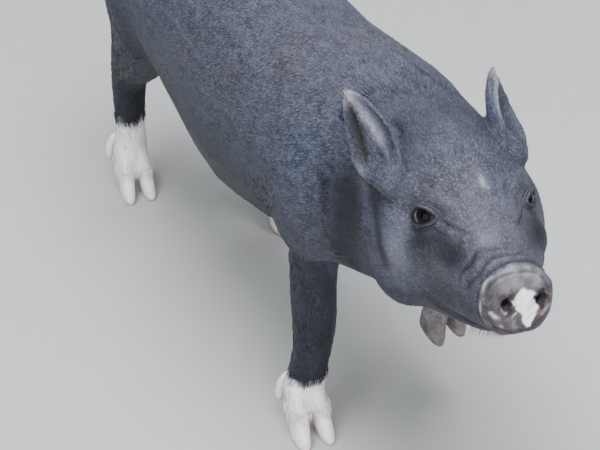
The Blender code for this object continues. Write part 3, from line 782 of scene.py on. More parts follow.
@dataclass
class Skin:
    """The one skin over the whole body."""

    plan: HeadPlan
    grain: float = 0.0012
    overlap: float = 0.00025
    triangles: int = 150_000
    coat_depth: float = 0.0008
    foot_top: float = 0.05
    lifted_top: float = 0.11
    lid: float = 0.17
    behind_eye: float = 0.16
    around_eye: float = 0.12
    fine_round_eye: float = 2.3
    obj: bpy.types.Object = field(init=False)
    region: np.ndarray = field(init=False)
    tree: BVHTree = field(init=False)
    owner: list = field(init=False)

    def build(self) -> None:
        """Makes the skin from the flesh solids, sculpts it and keeps its regions."""
        self.obj = self.gathered()
        LOG.info("flesh joined: %d vertices", len(self.obj.data.vertices))
        self.tree, self.owner = self.flesh_tree()
        self.biggest_shell(self.obj.data)
        self.soften()
        self.thin_out()
        LOG.info("skin thinned: %d triangles", len(self.obj.data.polygons))
        self.refine_face()
        self.region = self.labels(places(self.obj.data))
        self.round_trunk()
        self.lower_for_coat()
        self.sculpt_face()
        self.sculpt_ears()
        self.sculpt_body()
        bpy.ops.object.shade_smooth()
        LOG.info("skin sculpted: %d triangles", len(self.obj.data.polygons))

    def gathered(self) -> bpy.types.Object:
        """The flesh solids, let into each other and remeshed as one.

        Returns:
            The rough skin.
        """
        joined = bmesh.new()
        for node in FLESH_NODES:
            part = bmesh.new()
            part.from_mesh(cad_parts[node].data)
            bmesh.ops.remove_doubles(part, verts=part.verts, dist=WELD)
            part.normal_update()
            for vertex in part.verts:
                vertex.co += vertex.normal * self.overlap
            piece = bpy.data.meshes.new("flesh")
            part.to_mesh(piece)
            part.free()
            joined.from_mesh(piece)
            bpy.data.meshes.remove(piece)
        for side in (1, -1):
            place = Matrix.Translation(Vector(self.plan.eye(side).origin))
            radius = (self.plan.eye_radius + self.around_eye) * CM
            bmesh.ops.create_icosphere(joined, subdivisions=4, radius=radius, matrix=place)
        mesh = bpy.data.meshes.new("skin")
        joined.to_mesh(mesh)
        joined.free()
        obj = new_object("skin", mesh)
        remeshed(obj, self.grain)
        return obj

    def biggest_shell(self, mesh: bpy.types.Mesh) -> None:
        """Drops what floats inside the body, and leaves the mesh's largest shell in triangles.

        Args:
            mesh: The remeshed skin.
        """
        first, second = Web(mesh).ends.T
        shell = np.arange(len(mesh.vertices))
        while True:
            before = shell.copy()
            lowest = np.minimum(shell[first], shell[second])
            np.minimum.at(shell, first, lowest)
            np.minimum.at(shell, second, lowest)
            shell = shell[shell]
            if np.array_equal(before, shell):
                break
        kept = np.bincount(shell).argmax()
        shape = bmesh.new()
        shape.from_mesh(mesh)
        shape.verts.ensure_lookup_table()
        stray = [shape.verts[i] for i in np.nonzero(shell != kept)[0]]
        bmesh.ops.delete(shape, geom=stray, context="VERTS")
        bmesh.ops.triangulate(shape, faces=shape.faces)
        shape.to_mesh(mesh)
        shape.free()

    def flesh_tree(self) -> tuple[BVHTree, list]:
        """A search tree over the flesh solids.

        Returns:
            The tree, and each of its triangles' region number.
        """
        points, faces, owner = [], [], []
        for number, node in enumerate(FLESH_NODES):
            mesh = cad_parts[node].data
            start = len(points)
            points.extend(places(mesh).tolist())
            triangles = triangles_of(mesh) + start
            faces.extend(triangles.tolist())
            owner.extend([number] * len(triangles))
        return BVHTree.FromPolygons(points, faces), owner

    def labels(self, points: np.ndarray) -> np.ndarray:
        """Which flesh solid each place belongs to, as a Region's number."""
        return np.array([self.owner[self.tree.find_nearest(point)[2]] for point in points])

    def low_leg(self, points: np.ndarray, top: float) -> np.ndarray:
        """Whether each vertex is on a foot below top, with the lifted foot's own top higher up."""
        standing = (self.region >= Region.LEG_FRONT_LEFT) & (points[:, 2] < top)
        return standing | (self.region == Region.LEG_FRONT_LEFT) & (points[:, 2] < self.lifted_top)

    def near_disc(self, points: np.ndarray, reach: float) -> np.ndarray:
        """Whether each vertex is on the head and less than reach behind the disc, in centimetres."""
        return (self.region == Region.HEAD) & (self.plan.disc.into(points)[:, 1] < reach)

    def soften(self, rounds: int = 56) -> None:
        """Smooths the solids' facets away, most on the trunk and least on the ears and feet.

        Args:
            rounds: How many rounds.
        """
        mesh = self.obj.data
        points = places(mesh)
        web = Web(mesh)
        self.region = self.labels(points)
        rate = np.ones(len(points))
        rate[self.region == Region.HEAD] = 0.28
        rate[np.isin(self.region, EAR_PAIR)] = 0.22
        rate[self.region == Region.TAIL] = 0.3
        rate[self.low_leg(points, 0.9 * self.foot_top)] = 0.3
        rate[self.near_disc(points, 0.8)] = 0.14
        rate = web.blurred(rate, 6)[:, None]
        set_places(mesh, web.smoothed(points, rounds, (0.55, -0.565), rate))

    def thin_out(self) -> None:
        """Spends the triangles on the face, ears and feet."""
        mesh = self.obj.data
        points = places(mesh)
        local = self.plan.axes.into(points)
        weight = np.ones(len(points))
        weight[self.region == Region.HEAD] = 0.35
        weight[np.isin(self.region, EAR_PAIR)] = 0.15
        weight[self.low_leg(points, self.foot_top)] = 0.3
        for side in (1, -1):
            centre = np.array((side * self.plan.eye_apart, self.plan.eye_back, self.plan.eye_up))
            weight[np.linalg.norm(local - centre, axis=1) < self.fine_round_eye] = 0.0
        weight[self.near_disc(points, 1.0)] = 0.0
        group = self.obj.vertex_groups.new(name="plain")
        for value in np.unique(weight):
            group.add(np.nonzero(weight == value)[0].tolist(), float(value), "REPLACE")
        thin = self.obj.modifiers.new("thin", "DECIMATE")
        thin.ratio = self.triangles / len(mesh.polygons)
        thin.vertex_group = "plain"
        apply_all(self.obj)
        self.obj.vertex_groups.clear()

    def refine_face(self) -> None:
        """Splits the skin's edges round the eyes, on the disc and in the nostrils."""
        shape = bmesh.new()
        shape.from_mesh(self.obj.data)
        for step in range(2):
            points = np.array([v.co for v in shape.verts])
            near = np.zeros(len(points), bool)
            for side in (1, -1):
                beside, outward = self.plan.beside_eye(points, side, 1.75, 0.1)
                near |= beside & (outward < (2.1 if step == 0 else 1.3))
            if step == 0:
                snout = self.plan.disc.into(points)
                near |= (np.abs(snout[:, 0]) < 2.6) & (np.abs(snout[:, 2]) < 2.4) & (snout[:, 1] < 0.7)
            shape.verts.ensure_lookup_table()
            edges = [e for e in shape.edges if near[e.verts[0].index] and near[e.verts[1].index]]
            bmesh.ops.subdivide_edges(shape, edges=edges, cuts=1, use_grid_fill=True)
            bmesh.ops.triangulate(shape, faces=shape.faces)
            shape.verts.index_update()
        shape.to_mesh(self.obj.data)
        shape.free()
        self.obj.data.update()

    def round_trunk(self, rounds: int = 60, pull: float = 0.6, limit: float = 0.0008) -> None:
        """Rounds off what is left of the solids' facets on the trunk, neck and upper legs.

        Args:
            rounds: How many passes each of the two blurs makes.
            pull: How far a pass goes to the mean.
            limit: How far the skin may move.
        """
        mesh = self.obj.data
        points = places(mesh)
        web = Web(mesh)
        rate = (self.region <= Region.NECK).astype(float)
        legs = self.region >= Region.LEG_FRONT_LEFT
        rate[legs] = 0.25 * eased(points[legs, 2], 0.07, 0.12) + 0.4 * eased(points[legs, 2], 0.14, 0.19)
        rate *= eased(self.plan.axes.into(points)[:, 1], 4.5, 7.5)
        rate = web.blurred(rate[:, None], 10)
        first = web.smoothed(points, rounds, (pull,), rate)
        rest = web.smoothed(points - first, rounds, (pull,), rate)
        normal = facings(mesh)
        shift = ((first + rest - points) * normal).sum(1, keepdims=True)
        shift = web.blurred(limit * np.tanh(shift / limit), 4)
        set_places(mesh, points + normal * shift * eased(rate, 0.0, 0.1))

    def lower_for_coat(self) -> None:
        """Sets the skin in by the depth of its coat."""
        mesh = self.obj.data
        points = places(mesh)
        share = np.ones(len(points))
        share[np.isin(self.region, (*EAR_PAIR, Region.TAIL))] = 0.35
        share[self.region == Region.HEAD] = 0.55
        share[(self.region >= Region.LEG_FRONT_LEFT) & (points[:, 2] < self.foot_top)] = 0.4
        share[self.near_disc(points, 1.0)] = 0.0
        depth = Web(mesh).blurred(self.coat_depth * share, 8)
        set_places(mesh, points - facings(mesh) * depth[:, None])

    def sculpt_face(self) -> None:
        """Adds lids, folds, the disc's rim and the nostrils' edges."""
        mesh = self.obj.data
        points = places(mesh)
        local = self.plan.axes.into(points)
        head = (local[:, 1] < 8.5) & (local[:, 1] > -9) & (np.abs(local[:, 0]) < 7.8)
        head &= self.region <= Region.HEAD
        rows = np.nonzero(head)[0]
        lift = np.zeros(len(rows))
        for fold in FACE_FOLDS:
            lift += fold.height(local[rows])
        lift += self.disc_relief(self.plan.disc.into(points[rows]))
        lift += self.mouth_line(local[rows])
        points[rows] += facings(mesh)[rows] * lift[:, None] * CM
        points = self.shift_nostrils(points)
        for side in (1, -1):
            points = self.eyelids(points, side)
        set_places(mesh, points)

    def shift_nostrils(self, points: np.ndarray) -> np.ndarray:
        """Draws the nostrils in and toward the side that the snout turns to.

        Args:
            points: All the skin's vertices.

        Returns:
            The vertices, with the nostrils moved.
        """
        plan = self.plan
        at = plan.disc.into(points)
        near = (self.region == Region.HEAD) & (at[:, 1] < 2.2)
        shift = np.zeros_like(at)
        for side in (1, -1):
            draw = 1 - eased(plan.nostril_ring(at, side), 0.9, 2.2)
            across, upright = at[:, 0] - side * plan.nostril_apart, at[:, 2] - 0.05
            aside = plan.nostril_shift + side * 0.04
            shift[:, 0] += draw * aside - 0.36 * draw * across + 0.20 * draw * upright
            shift[:, 2] += -0.10 * draw - 0.34 * draw * upright
        shift[~near] = 0
        return plan.disc.out_of(at + shift)

    def sculpt_ears(self) -> None:
        """Raises the ear's inner wall and sinks the slot beside it."""
        mesh = self.obj.data
        points = places(mesh)
        normal = facings(mesh)
        for ear in EARS:
            rows = np.nonzero(self.region == ear.region)[0]
            inner = eased(normal[rows] @ (self.plan.axes.columns @ ear.opening()), 0.0, 0.5)
            slot, wall = ear.slot(self.plan.axes.into(points[rows]))
            lift = 0.30 * bell(wall, 0.0, 0.50) - ear.depth * bell(slot, 0.0, 0.26)
            points[rows] += normal[rows] * (lift * inner)[:, None] * CM
        web = Web(mesh)
        ears = np.isin(self.region, EAR_PAIR)
        for _ in range(3):
            points[ears] += 0.4 * (web.mean(points) - points)[ears]
        set_places(mesh, points)

    def disc_relief(self, at: np.ndarray) -> np.ndarray:
        """The snout disc's rim, its rings and the lips of the nostrils.

        Args:
            at: Places in the disc's frame.

        Returns:
            Centimetres outward.
        """
        plan = self.plan
        ring = plan.disc_ring(at)
        face = 1 - eased(at[:, 1], 0.15, 0.5)
        lift = 0.05 * bell(ring, 0.94, 0.06) * face - 0.05 * bell(ring, 0.83, 0.035) * face
        behind = (1 - eased(at[:, 1], 3.0, 4.5)) * eased(at[:, 2], -2.2, -0.6)
        lift -= 0.08 * bell(at[:, 1], 0.62, 0.14) * eased(at[:, 2], -2.4, -1.4)
        bowed, strength = plan.muzzle_arcs(at)
        behind *= eased(at[:, 2], -0.6, 1.0) * strength
        lift += 0.07 * bell(bowed, 0.95, 0.16) * behind - 0.10 * bell(bowed, 1.30, 0.11) * behind
        lift += 0.06 * bell(bowed, 1.62, 0.16) * behind - 0.08 * bell(bowed, 2.0, 0.12) * behind
        for side in (1, -1):
            ring = plan.nostril_ring(at, side)
            lift += 0.055 * bell(ring, 1.55, 0.3) * face - 0.05 * (1 - eased(ring, 0.95, 1.3)) * face
        lift -= 0.05 * bell(at[:, 0], 0.0, 0.1) * (1 - eased(at[:, 2], -1.2, -0.3)) * face
        return lift + 0.012 * ripple(at, 0.5, 5) * face

    def mouth_line(self, local: np.ndarray) -> np.ndarray:
        """A crisp line along the mouth, and full lips beside it.

        Args:
            local: Places in the head's frame.

        Returns:
            Centimetres outward.
        """
        corner, front, corner_z, front_z, sag = self.plan.mouth
        t = np.clip((-local[:, 1] - corner) / (front - corner), 0.0, 1.15)
        level = corner_z + (front_z - corner_z) * t - sag * 4 * t * (1 - t)
        gap = local[:, 2] - level
        forward = -local[:, 1]
        inside = eased(forward, corner + 1.6, corner + 3.4) * (1 - eased(forward, front + 0.2, front + 1.0))
        line = -0.07 * bell(gap, 0.0, 0.09) + 0.03 * bell(gap, 0.24, 0.13) + 0.03 * bell(gap, -0.24, 0.13)
        behind = eased(forward, corner - 1.2, corner - 0.2) * (1 - eased(forward, corner + 1.2, corner + 2.8))
        return line * inside + 0.09 * bell(gap, 0.0, 0.16) * behind

    def eyelids(self, points: np.ndarray, side: int) -> np.ndarray:
        """Draws the lids tight over one eyeball and opens the slit.

        Args:
            points: All the skin's vertices.
            side: 1 for the left eye, -1 for the right.

        Returns:
            The vertices, with the lids made.
        """
        eye = self.plan.eye(side)
        local = eye.into(points)
        reach = np.linalg.norm(local, axis=1)
        rows = np.nonzero((reach < 2.4) & (local[:, 1] > 0.0) & (self.region == Region.HEAD))[0]
        at, far = local[rows], reach[rows]
        outward = self.plan.almond(at, side)
        edge = np.abs(outward - 1.0) < 0.07
        at[edge, 0] /= outward[edge]
        at[edge, 2] /= outward[edge]
        outward[edge] = 1.0
        radius = self.plan.eye_radius
        upper = eased(at[:, 2], -0.1, 0.25)
        cover = radius + self.lid + 0.03 * upper
        fold = -0.075 * bell(outward, 1.50, 0.10) + 0.05 * bell(outward, 1.27, 0.14)
        fold += -0.055 * bell(outward, 1.95, 0.12) + 0.03 * bell(outward, 1.72, 0.1)
        fold *= upper
        under = -0.05 * bell(outward, 1.62, 0.10) + 0.035 * bell(outward, 1.33, 0.15)
        under -= 0.035 * bell(outward, 2.05, 0.1)
        fold += under * (1 - upper)
        lids = cover + fold
        snug = (1 - eased(outward, 1.35, 2.5)) * (1 - eased(far, 1.5, 2.1))
        wanted = far + (lids - far) * snug + fold * (1 - snug) * (1 - eased(outward, 2.2, 3.0))
        rim = 1 - eased(outward, 0.94, 1.13)
        wanted = np.where(outward > 0.94, wanted - 0.10 * rim, radius - self.behind_eye)
        at = at / np.maximum(np.linalg.norm(at, axis=1, keepdims=True), 1e-6) * wanted[:, None]
        points[rows] = eye.out_of(at)
        return points

    def sculpt_body(self) -> None:
        """Adds soft folds at the neck, elbows and knees and the hide's unevenness."""
        mesh = self.obj.data
        points = places(mesh)
        body = self.region != Region.HEAD
        lift = np.where(body, 0.00022, 0.00006) * ripple(points, 0.035, 11)
        lift += np.where(body, 0.00007, 0.00003) * ripple(points, 0.009, 12)
        neck = self.region == Region.NECK
        waves = np.sin(points[:, 1] * 2 * math.pi / 0.014 + 1.2 * ripple(points, 0.05, 13))
        lift += neck * 0.0003 * waves * eased(np.abs(points[:, 0]), 0.01, 0.03)
        legs = self.region >= Region.LEG_FRONT_LEFT
        rings = np.sin(points[:, 2] * 2 * math.pi / 0.0075 + 1.5 * ripple(points, 0.03, 14))
        shin = eased(points[:, 2], 0.03, 0.06) * (1 - eased(points[:, 2], 0.12, 0.16))
        lift += legs * 0.00018 * rings * shin
        lift[np.isin(self.region, EAR_PAIR)] *= 0.35
        set_places(mesh, points + facings(mesh) * lift[:, None])


@dataclass
class Markings:
    """Where the pale feet, the pale snout patch and the tints are, and where light and shade are painted; the
    skin and the coat both ask it.
    """

    plan: HeadPlan
    front_sock: float = 0.043
    hind_sock: float = 0.064
    lifted_sock: float = 0.092
    patch: tuple = (
        (0.34, -1.74), (0.84, -1.86), (1.10, -2.25), (1.10, -2.75), (1.22, -2.98),
        (1.03, -3.36), (0.83, -3.75), (0.67, -4.12), (0.40, -4.07), (0.27, -3.68),
        (0.10, -3.18), (-0.13, -2.86), (-0.40, -2.44), (-0.05, -2.06),
    )
    # Painted highlights of the wet disc: lines in the head's frame, their widths and strengths
    wet_highlights: tuple = (
        (((-1.62, -2.85), (-1.42, -3.12), (-1.22, -3.28)), 0.10, 1.0),
        (((-0.98, -2.70), (-0.95, -2.95), (-0.75, -3.05)), 0.05, 0.7),
        (((-0.38, -3.30), (-0.12, -3.12)), 0.05, 0.7),
        (((1.50, -3.40), (1.78, -3.05)), 0.13, 0.6),
        (((-1.1, -3.72), (-0.98, -3.80)), 0.05, 0.5),
    )

    def sock(self, points: np.ndarray, region: np.ndarray) -> np.ndarray:
        """How white the feet are.

        Args:
            points: World places.
            region: Their regions.

        Returns:
            1 in the white, 0 in the dark, with a jagged edge.
        """
        jag = 0.0018 * ripple(points, 0.012, 21) + 0.0016 * ripple(points, 0.004, 22)
        top = np.full(len(points), self.front_sock)
        top[region >= Region.LEG_HIND_LEFT] = self.hind_sock
        top[region == Region.LEG_FRONT_LEFT] = self.lifted_sock
        legs = region >= Region.LEG_FRONT_LEFT
        return legs * (1 - eased(points[:, 2] - top - jag, -0.0045, 0.0045))

    def disc(self, points: np.ndarray, region: np.ndarray) -> np.ndarray:
        """How far a place is bare snout disc, from 0 to 1.

        Args:
            points: World places.
            region: Their regions.

        Returns:
            One number a place.
        """
        at = self.plan.disc.into(points)
        across = np.abs(at[:, 0] / (self.plan.disc_half_width + 0.1)) ** 2.6
        upright = np.abs(at[:, 2] / (self.plan.disc_half_height + 0.1)) ** 2.6
        ahead = 1 - eased(at[:, 1] - (0.20 + 0.10 * ripple(at, 0.5, 23)), -0.22, 0.22)
        return (region == Region.HEAD) * ahead * (1 - eased(across + upright, 1.6, 2.2))

    def nostril(self, points: np.ndarray, region: np.ndarray) -> np.ndarray:
        """How far a place is in or close round a nostril, from 0 to 1: painted shade inside the hole, and the
        skin's own dark red round it.

        Args:
            points: World places.
            region: Their regions.

        Returns:
            One number a place.
        """
        at = self.plan.disc.into(points)
        near = np.zeros(len(points))
        for side in (1, -1):
            across = (at[:, 0] - side * (self.plan.nostril_apart + 0.04) - self.plan.nostril_shift) / 0.25
            ring = np.sqrt(across**2 + ((at[:, 2] + 0.05) / 0.33) ** 2)
            halo = 0.9 * (1 - eased(ring, 1.3, 2.9)) * (0.6 + 0.7 * ripple(at, 0.35, 29))
            near = np.maximum.reduce([near, 1 - eased(ring, 1.0, 1.5), halo])
        return near * (region == Region.HEAD) * (at[:, 1] < 2.0)

    def disc_tones(self, points: np.ndarray) -> tuple[np.ndarray, np.ndarray, np.ndarray]:
        """How the bare disc varies.

        Args:
            points: World places.

        Returns:
            How pale its upper rim is as a painted reflection, where painted highlights of its wet skin lie,
            and how dim it is low down and at its edge, as painted shade over a random tone.
        """
        at = self.plan.disc.into(points)
        flat = self.plan.axes.into(points)[:, (0, 2)]
        # Painted highlights of the wet skin along the listed lines, and a thin one along one side of the rim
        wet = np.zeros(len(points))
        for path, width, strength in self.wet_highlights:
            wet = np.maximum(wet, strength * bell(path_distance(flat, path)[0], 0.0, width))
        wet *= 0.75 + 0.35 * ripple(at, 0.25, 33)
        ring = self.plan.disc_ring(at)
        left = eased(-at[:, 0], 0.2, 1.2)
        wet = np.maximum(wet, 0.55 * left * bell(ring, 0.96, 0.022) * (0.7 + 0.4 * ripple(at, 0.5, 34)))
        # Painted reflection on the disc's upper part
        top_reflection = eased(at[:, 2], 0.3, 1.5) * eased(at[:, 0], -1.9, -0.3) * (0.8 + 0.35 * ripple(at, 0.5, 30))
        dim = 0.45 + 0.45 * ripple(at, 0.6, 28)
        # Painted shade low down and at one side's edge, less where the painted reflection lies
        low_right = 0.55 * eased(-at[:, 0], 0.7, 1.8) + 0.45 * (1 - eased(at[:, 2], -1.7, -0.6))
        dim += low_right + 0.3 * left * eased(ring, 0.8, 0.9) - 0.6 * top_reflection
        return np.clip(top_reflection, 0, 1), wet, np.clip(dim * (1 - wet), 0, 1)

    def snout_patch(self, points: np.ndarray) -> np.ndarray:
        """How far a place is in the pale patch of the snout disc.

        Args:
            points: World places.

        Returns:
            1 in the patch, 0 outside, with a soft uneven edge.
        """
        local = self.plan.axes.into(points)
        at = local[:, (0, 2)] + 0.05 * np.stack([ripple(local, 0.35, 24), ripple(local, 0.35, 25)], axis=1)
        gap, _ = path_distance(at, [self.patch[-1], *self.patch])
        inside = np.zeros(len(at), bool)
        for a, b in zip((self.patch[-1], *self.patch), self.patch):
            crossing = (a[1] > at[:, 1]) != (b[1] > at[:, 1])
            slope = (b[0] - a[0]) * (at[:, 1] - a[1]) / (b[1] - a[1] + 1e-12) + a[0]
            inside ^= crossing & (at[:, 0] < slope)
        signed = np.where(inside, gap, -gap)
        return eased(signed, -0.07, 0.10) * (1 - eased(local[:, 1], -5.9, -5.2))

    def tint(self, points: np.ndarray) -> np.ndarray:
        """How brown the hide is: more along the back and low on the flank.

        Args:
            points: World places.

        Returns:
            One number a place.
        """
        back = eased(points[:, 2], 0.25, 0.285) * eased(points[:, 1], -0.16, -0.05)
        flank = bell(points[:, 2], 0.15, 0.035) * eased(points[:, 1], -0.1, 0.0)
        local = self.plan.axes.into(points)
        chin = (1 - eased(local[:, 2], -4.0, -2.0)) * (1 - eased(local[:, 1], 2.0, 4.0))
        muzzle = eased(-local[:, 1], 0.0, 3.5) + 0.5 * chin + 0.45 * (1 - eased(local[:, 1], 2.5, 6.0))
        clouds = 0.22 * ripple(points, 0.05, 26)
        return np.clip(0.25 + 0.5 * back + 0.45 * flank + 0.7 * muzzle + clouds, 0, 1)

    def ear_slot(self, points: np.ndarray, region: np.ndarray) -> np.ndarray:
        """How far a place is in the painted shade of an ear's slot, from 0 to 1.

        Args:
            points: World places.
            region: Their regions.

        Returns:
            One number a place.
        """
        local = self.plan.axes.into(points)
        dark = np.zeros(len(points))
        for ear in EARS:
            dark += (region == ear.region) * ear.slot_shade * bell(ear.slot(local)[0], 0.0, 0.46)
        return dark

    def ear_tip(self, points: np.ndarray, region: np.ndarray) -> np.ndarray:
        """How far a place is in the pale pink tip of an ear, from 0 to 1.

        Args:
            points: World places.
            region: Their regions.

        Returns:
            One number a place.
        """
        local = self.plan.axes.into(points)
        pale = np.zeros(len(points))
        for ear in EARS:
            share, outer = ear.measured(local)
            pale += (region == ear.region) * eased(share + 0.05 * outer, 0.80, 0.97)
        return pale

    def dusk(self, points: np.ndarray, region: np.ndarray) -> np.ndarray:
        """How much painted shade darkens the coat: behind the cheeks, under the eyes, at the jaw, in the
        muzzle's folds, at the nape and low on the belly and legs.

        Args:
            points: World places.
            region: Their regions.

        Returns:
            0 to 1.
        """
        local = self.plan.axes.into(points)
        folded = np.column_stack([np.abs(local[:, 0]), local[:, 1:]])
        dark = np.zeros(len(points))
        head = region == Region.HEAD
        face = region <= Region.HEAD
        bands = (
            (((6.3, 5.1, -0.3), (6.3, 5.2, -1.4), (6.3, 5.3, -3.4), (5.8, 6.5, -6.0)), 1.5, 1.25),
            (((5.0, 4.1, 0.2), (5.1, 3.7, -0.8), (5.25, 2.6, -2.1), (5.1, 1.5, -3.5)), 0.5, 0.95),
            (((3.6, -0.9, -1.0), (3.1, -1.9, -0.95), (2.5, -3.3, -1.0)), 1.05, 1.05),
            (((2.9, -2.4, -3.6), (2.5, -4.2, -3.4), (2.0, -5.9, -3.5)), 1.0, 0.55),
            (((3.3, 5.2, 3.7), (3.2, 4.6, 3.45)), 0.4, 0.6),
        )
        for path, width, strength in bands:
            gap, _ = path_distance(folded, path)
            dark = np.maximum(dark, face * strength * bell(gap, 0.0, width))
        at = self.plan.disc.into(points)
        bowed, strength = self.plan.muzzle_arcs(at)
        arcs = 0.85 * bell(bowed, 1.30, 0.14) + 0.65 * bell(bowed, 2.0, 0.14)
        arcs += 0.6 * bell(at[:, 1], 0.62, 0.16)
        dark = np.maximum(dark, arcs * head * eased(at[:, 2], -0.4, 1.2) * strength)
        jaw = head * 0.6 * (1 - eased(local[:, 2], -5.2, -3.6)) * eased(local[:, 1], -7.2, -6.2)
        legs = 0.82 * (region >= Region.LEG_FRONT_LEFT) * (1 - eased(points[:, 2], 0.14, 0.215))
        low = (region == Region.TORSO) | (region >= Region.LEG_FRONT_LEFT)
        belly = low * (1 - eased(points[:, 2], 0.165, 0.232)) * eased(points[:, 1], -0.17, -0.05)
        belly *= 0.92 - 0.30 * eased(points[:, 1], 0.08, 0.20)
        nape = 0.62 * face * bell(local[:, 1], 4.4, 2.4) * eased(local[:, 2], 1.6, 3.2)
        dark = np.maximum.reduce([dark, jaw, legs, belly, nape])
        return np.clip(dark + 0.06 * ripple(points, 0.02, 27), 0, 1)

    def pale_and_lit(self, points: np.ndarray, region: np.ndarray) -> np.ndarray:
        """How much paler the face's hair is: over the muzzle, at the brow's fleck and beside the eyes;
        painted light on the right cheek, the right ear's lobe and the ears' inner walls.

        Args:
            points: World places.
            region: Their regions.

        Returns:
            0 to 1.
        """
        local = self.plan.axes.into(points)
        pale = np.zeros(len(points))
        spots = (
            ((0.15, -0.9, 2.08), (0.17, 0.42, 0.3), 1.3), ((-0.72, -0.33, 2.36), (0.12, 0.14, 0.2), 0.35),
            ((0.38, -1.2, 1.87), (0.12, 0.14, 0.2), 0.7), ((-2.27, -2.45, 0.0), (0.22, 0.12, 0.14), 0.3),
            ((2.42, -1.09, 0.62), (0.3, 0.35, 0.4), 0.4), ((-0.8, -3.9, 0.1), (0.5, 0.5, 0.4), 0.35),
            # The cheek spot and the two ear-lobe spots are painted light
            ((-4.75, 0.5, -2.4), (0.9, 1.2, 1.7), 0.34), ((-5.55, 4.3, 0.75), (0.6, 0.5, 0.9), 0.42),
            ((-5.1, 4.05, 0.05), (0.25, 0.35, 0.25), 0.6),
        )
        for at, spread, strength in spots:
            away = (((local - at) / spread) ** 2).sum(1)
            pale = np.maximum(pale, strength * np.exp(-away))
        # Painted light on the ears' inner walls
        for ear in EARS:
            share, _ = ear.measured(local)
            wall = bell(ear.slot(local)[1], 0.0, 0.5) * eased(share, 0.15, 0.4)
            pale = np.maximum(pale, 0.85 * wall * (region == ear.region))
        return np.clip(pale, 0, 1) * (region >= Region.HEAD) * (region <= Region.EAR_RIGHT)


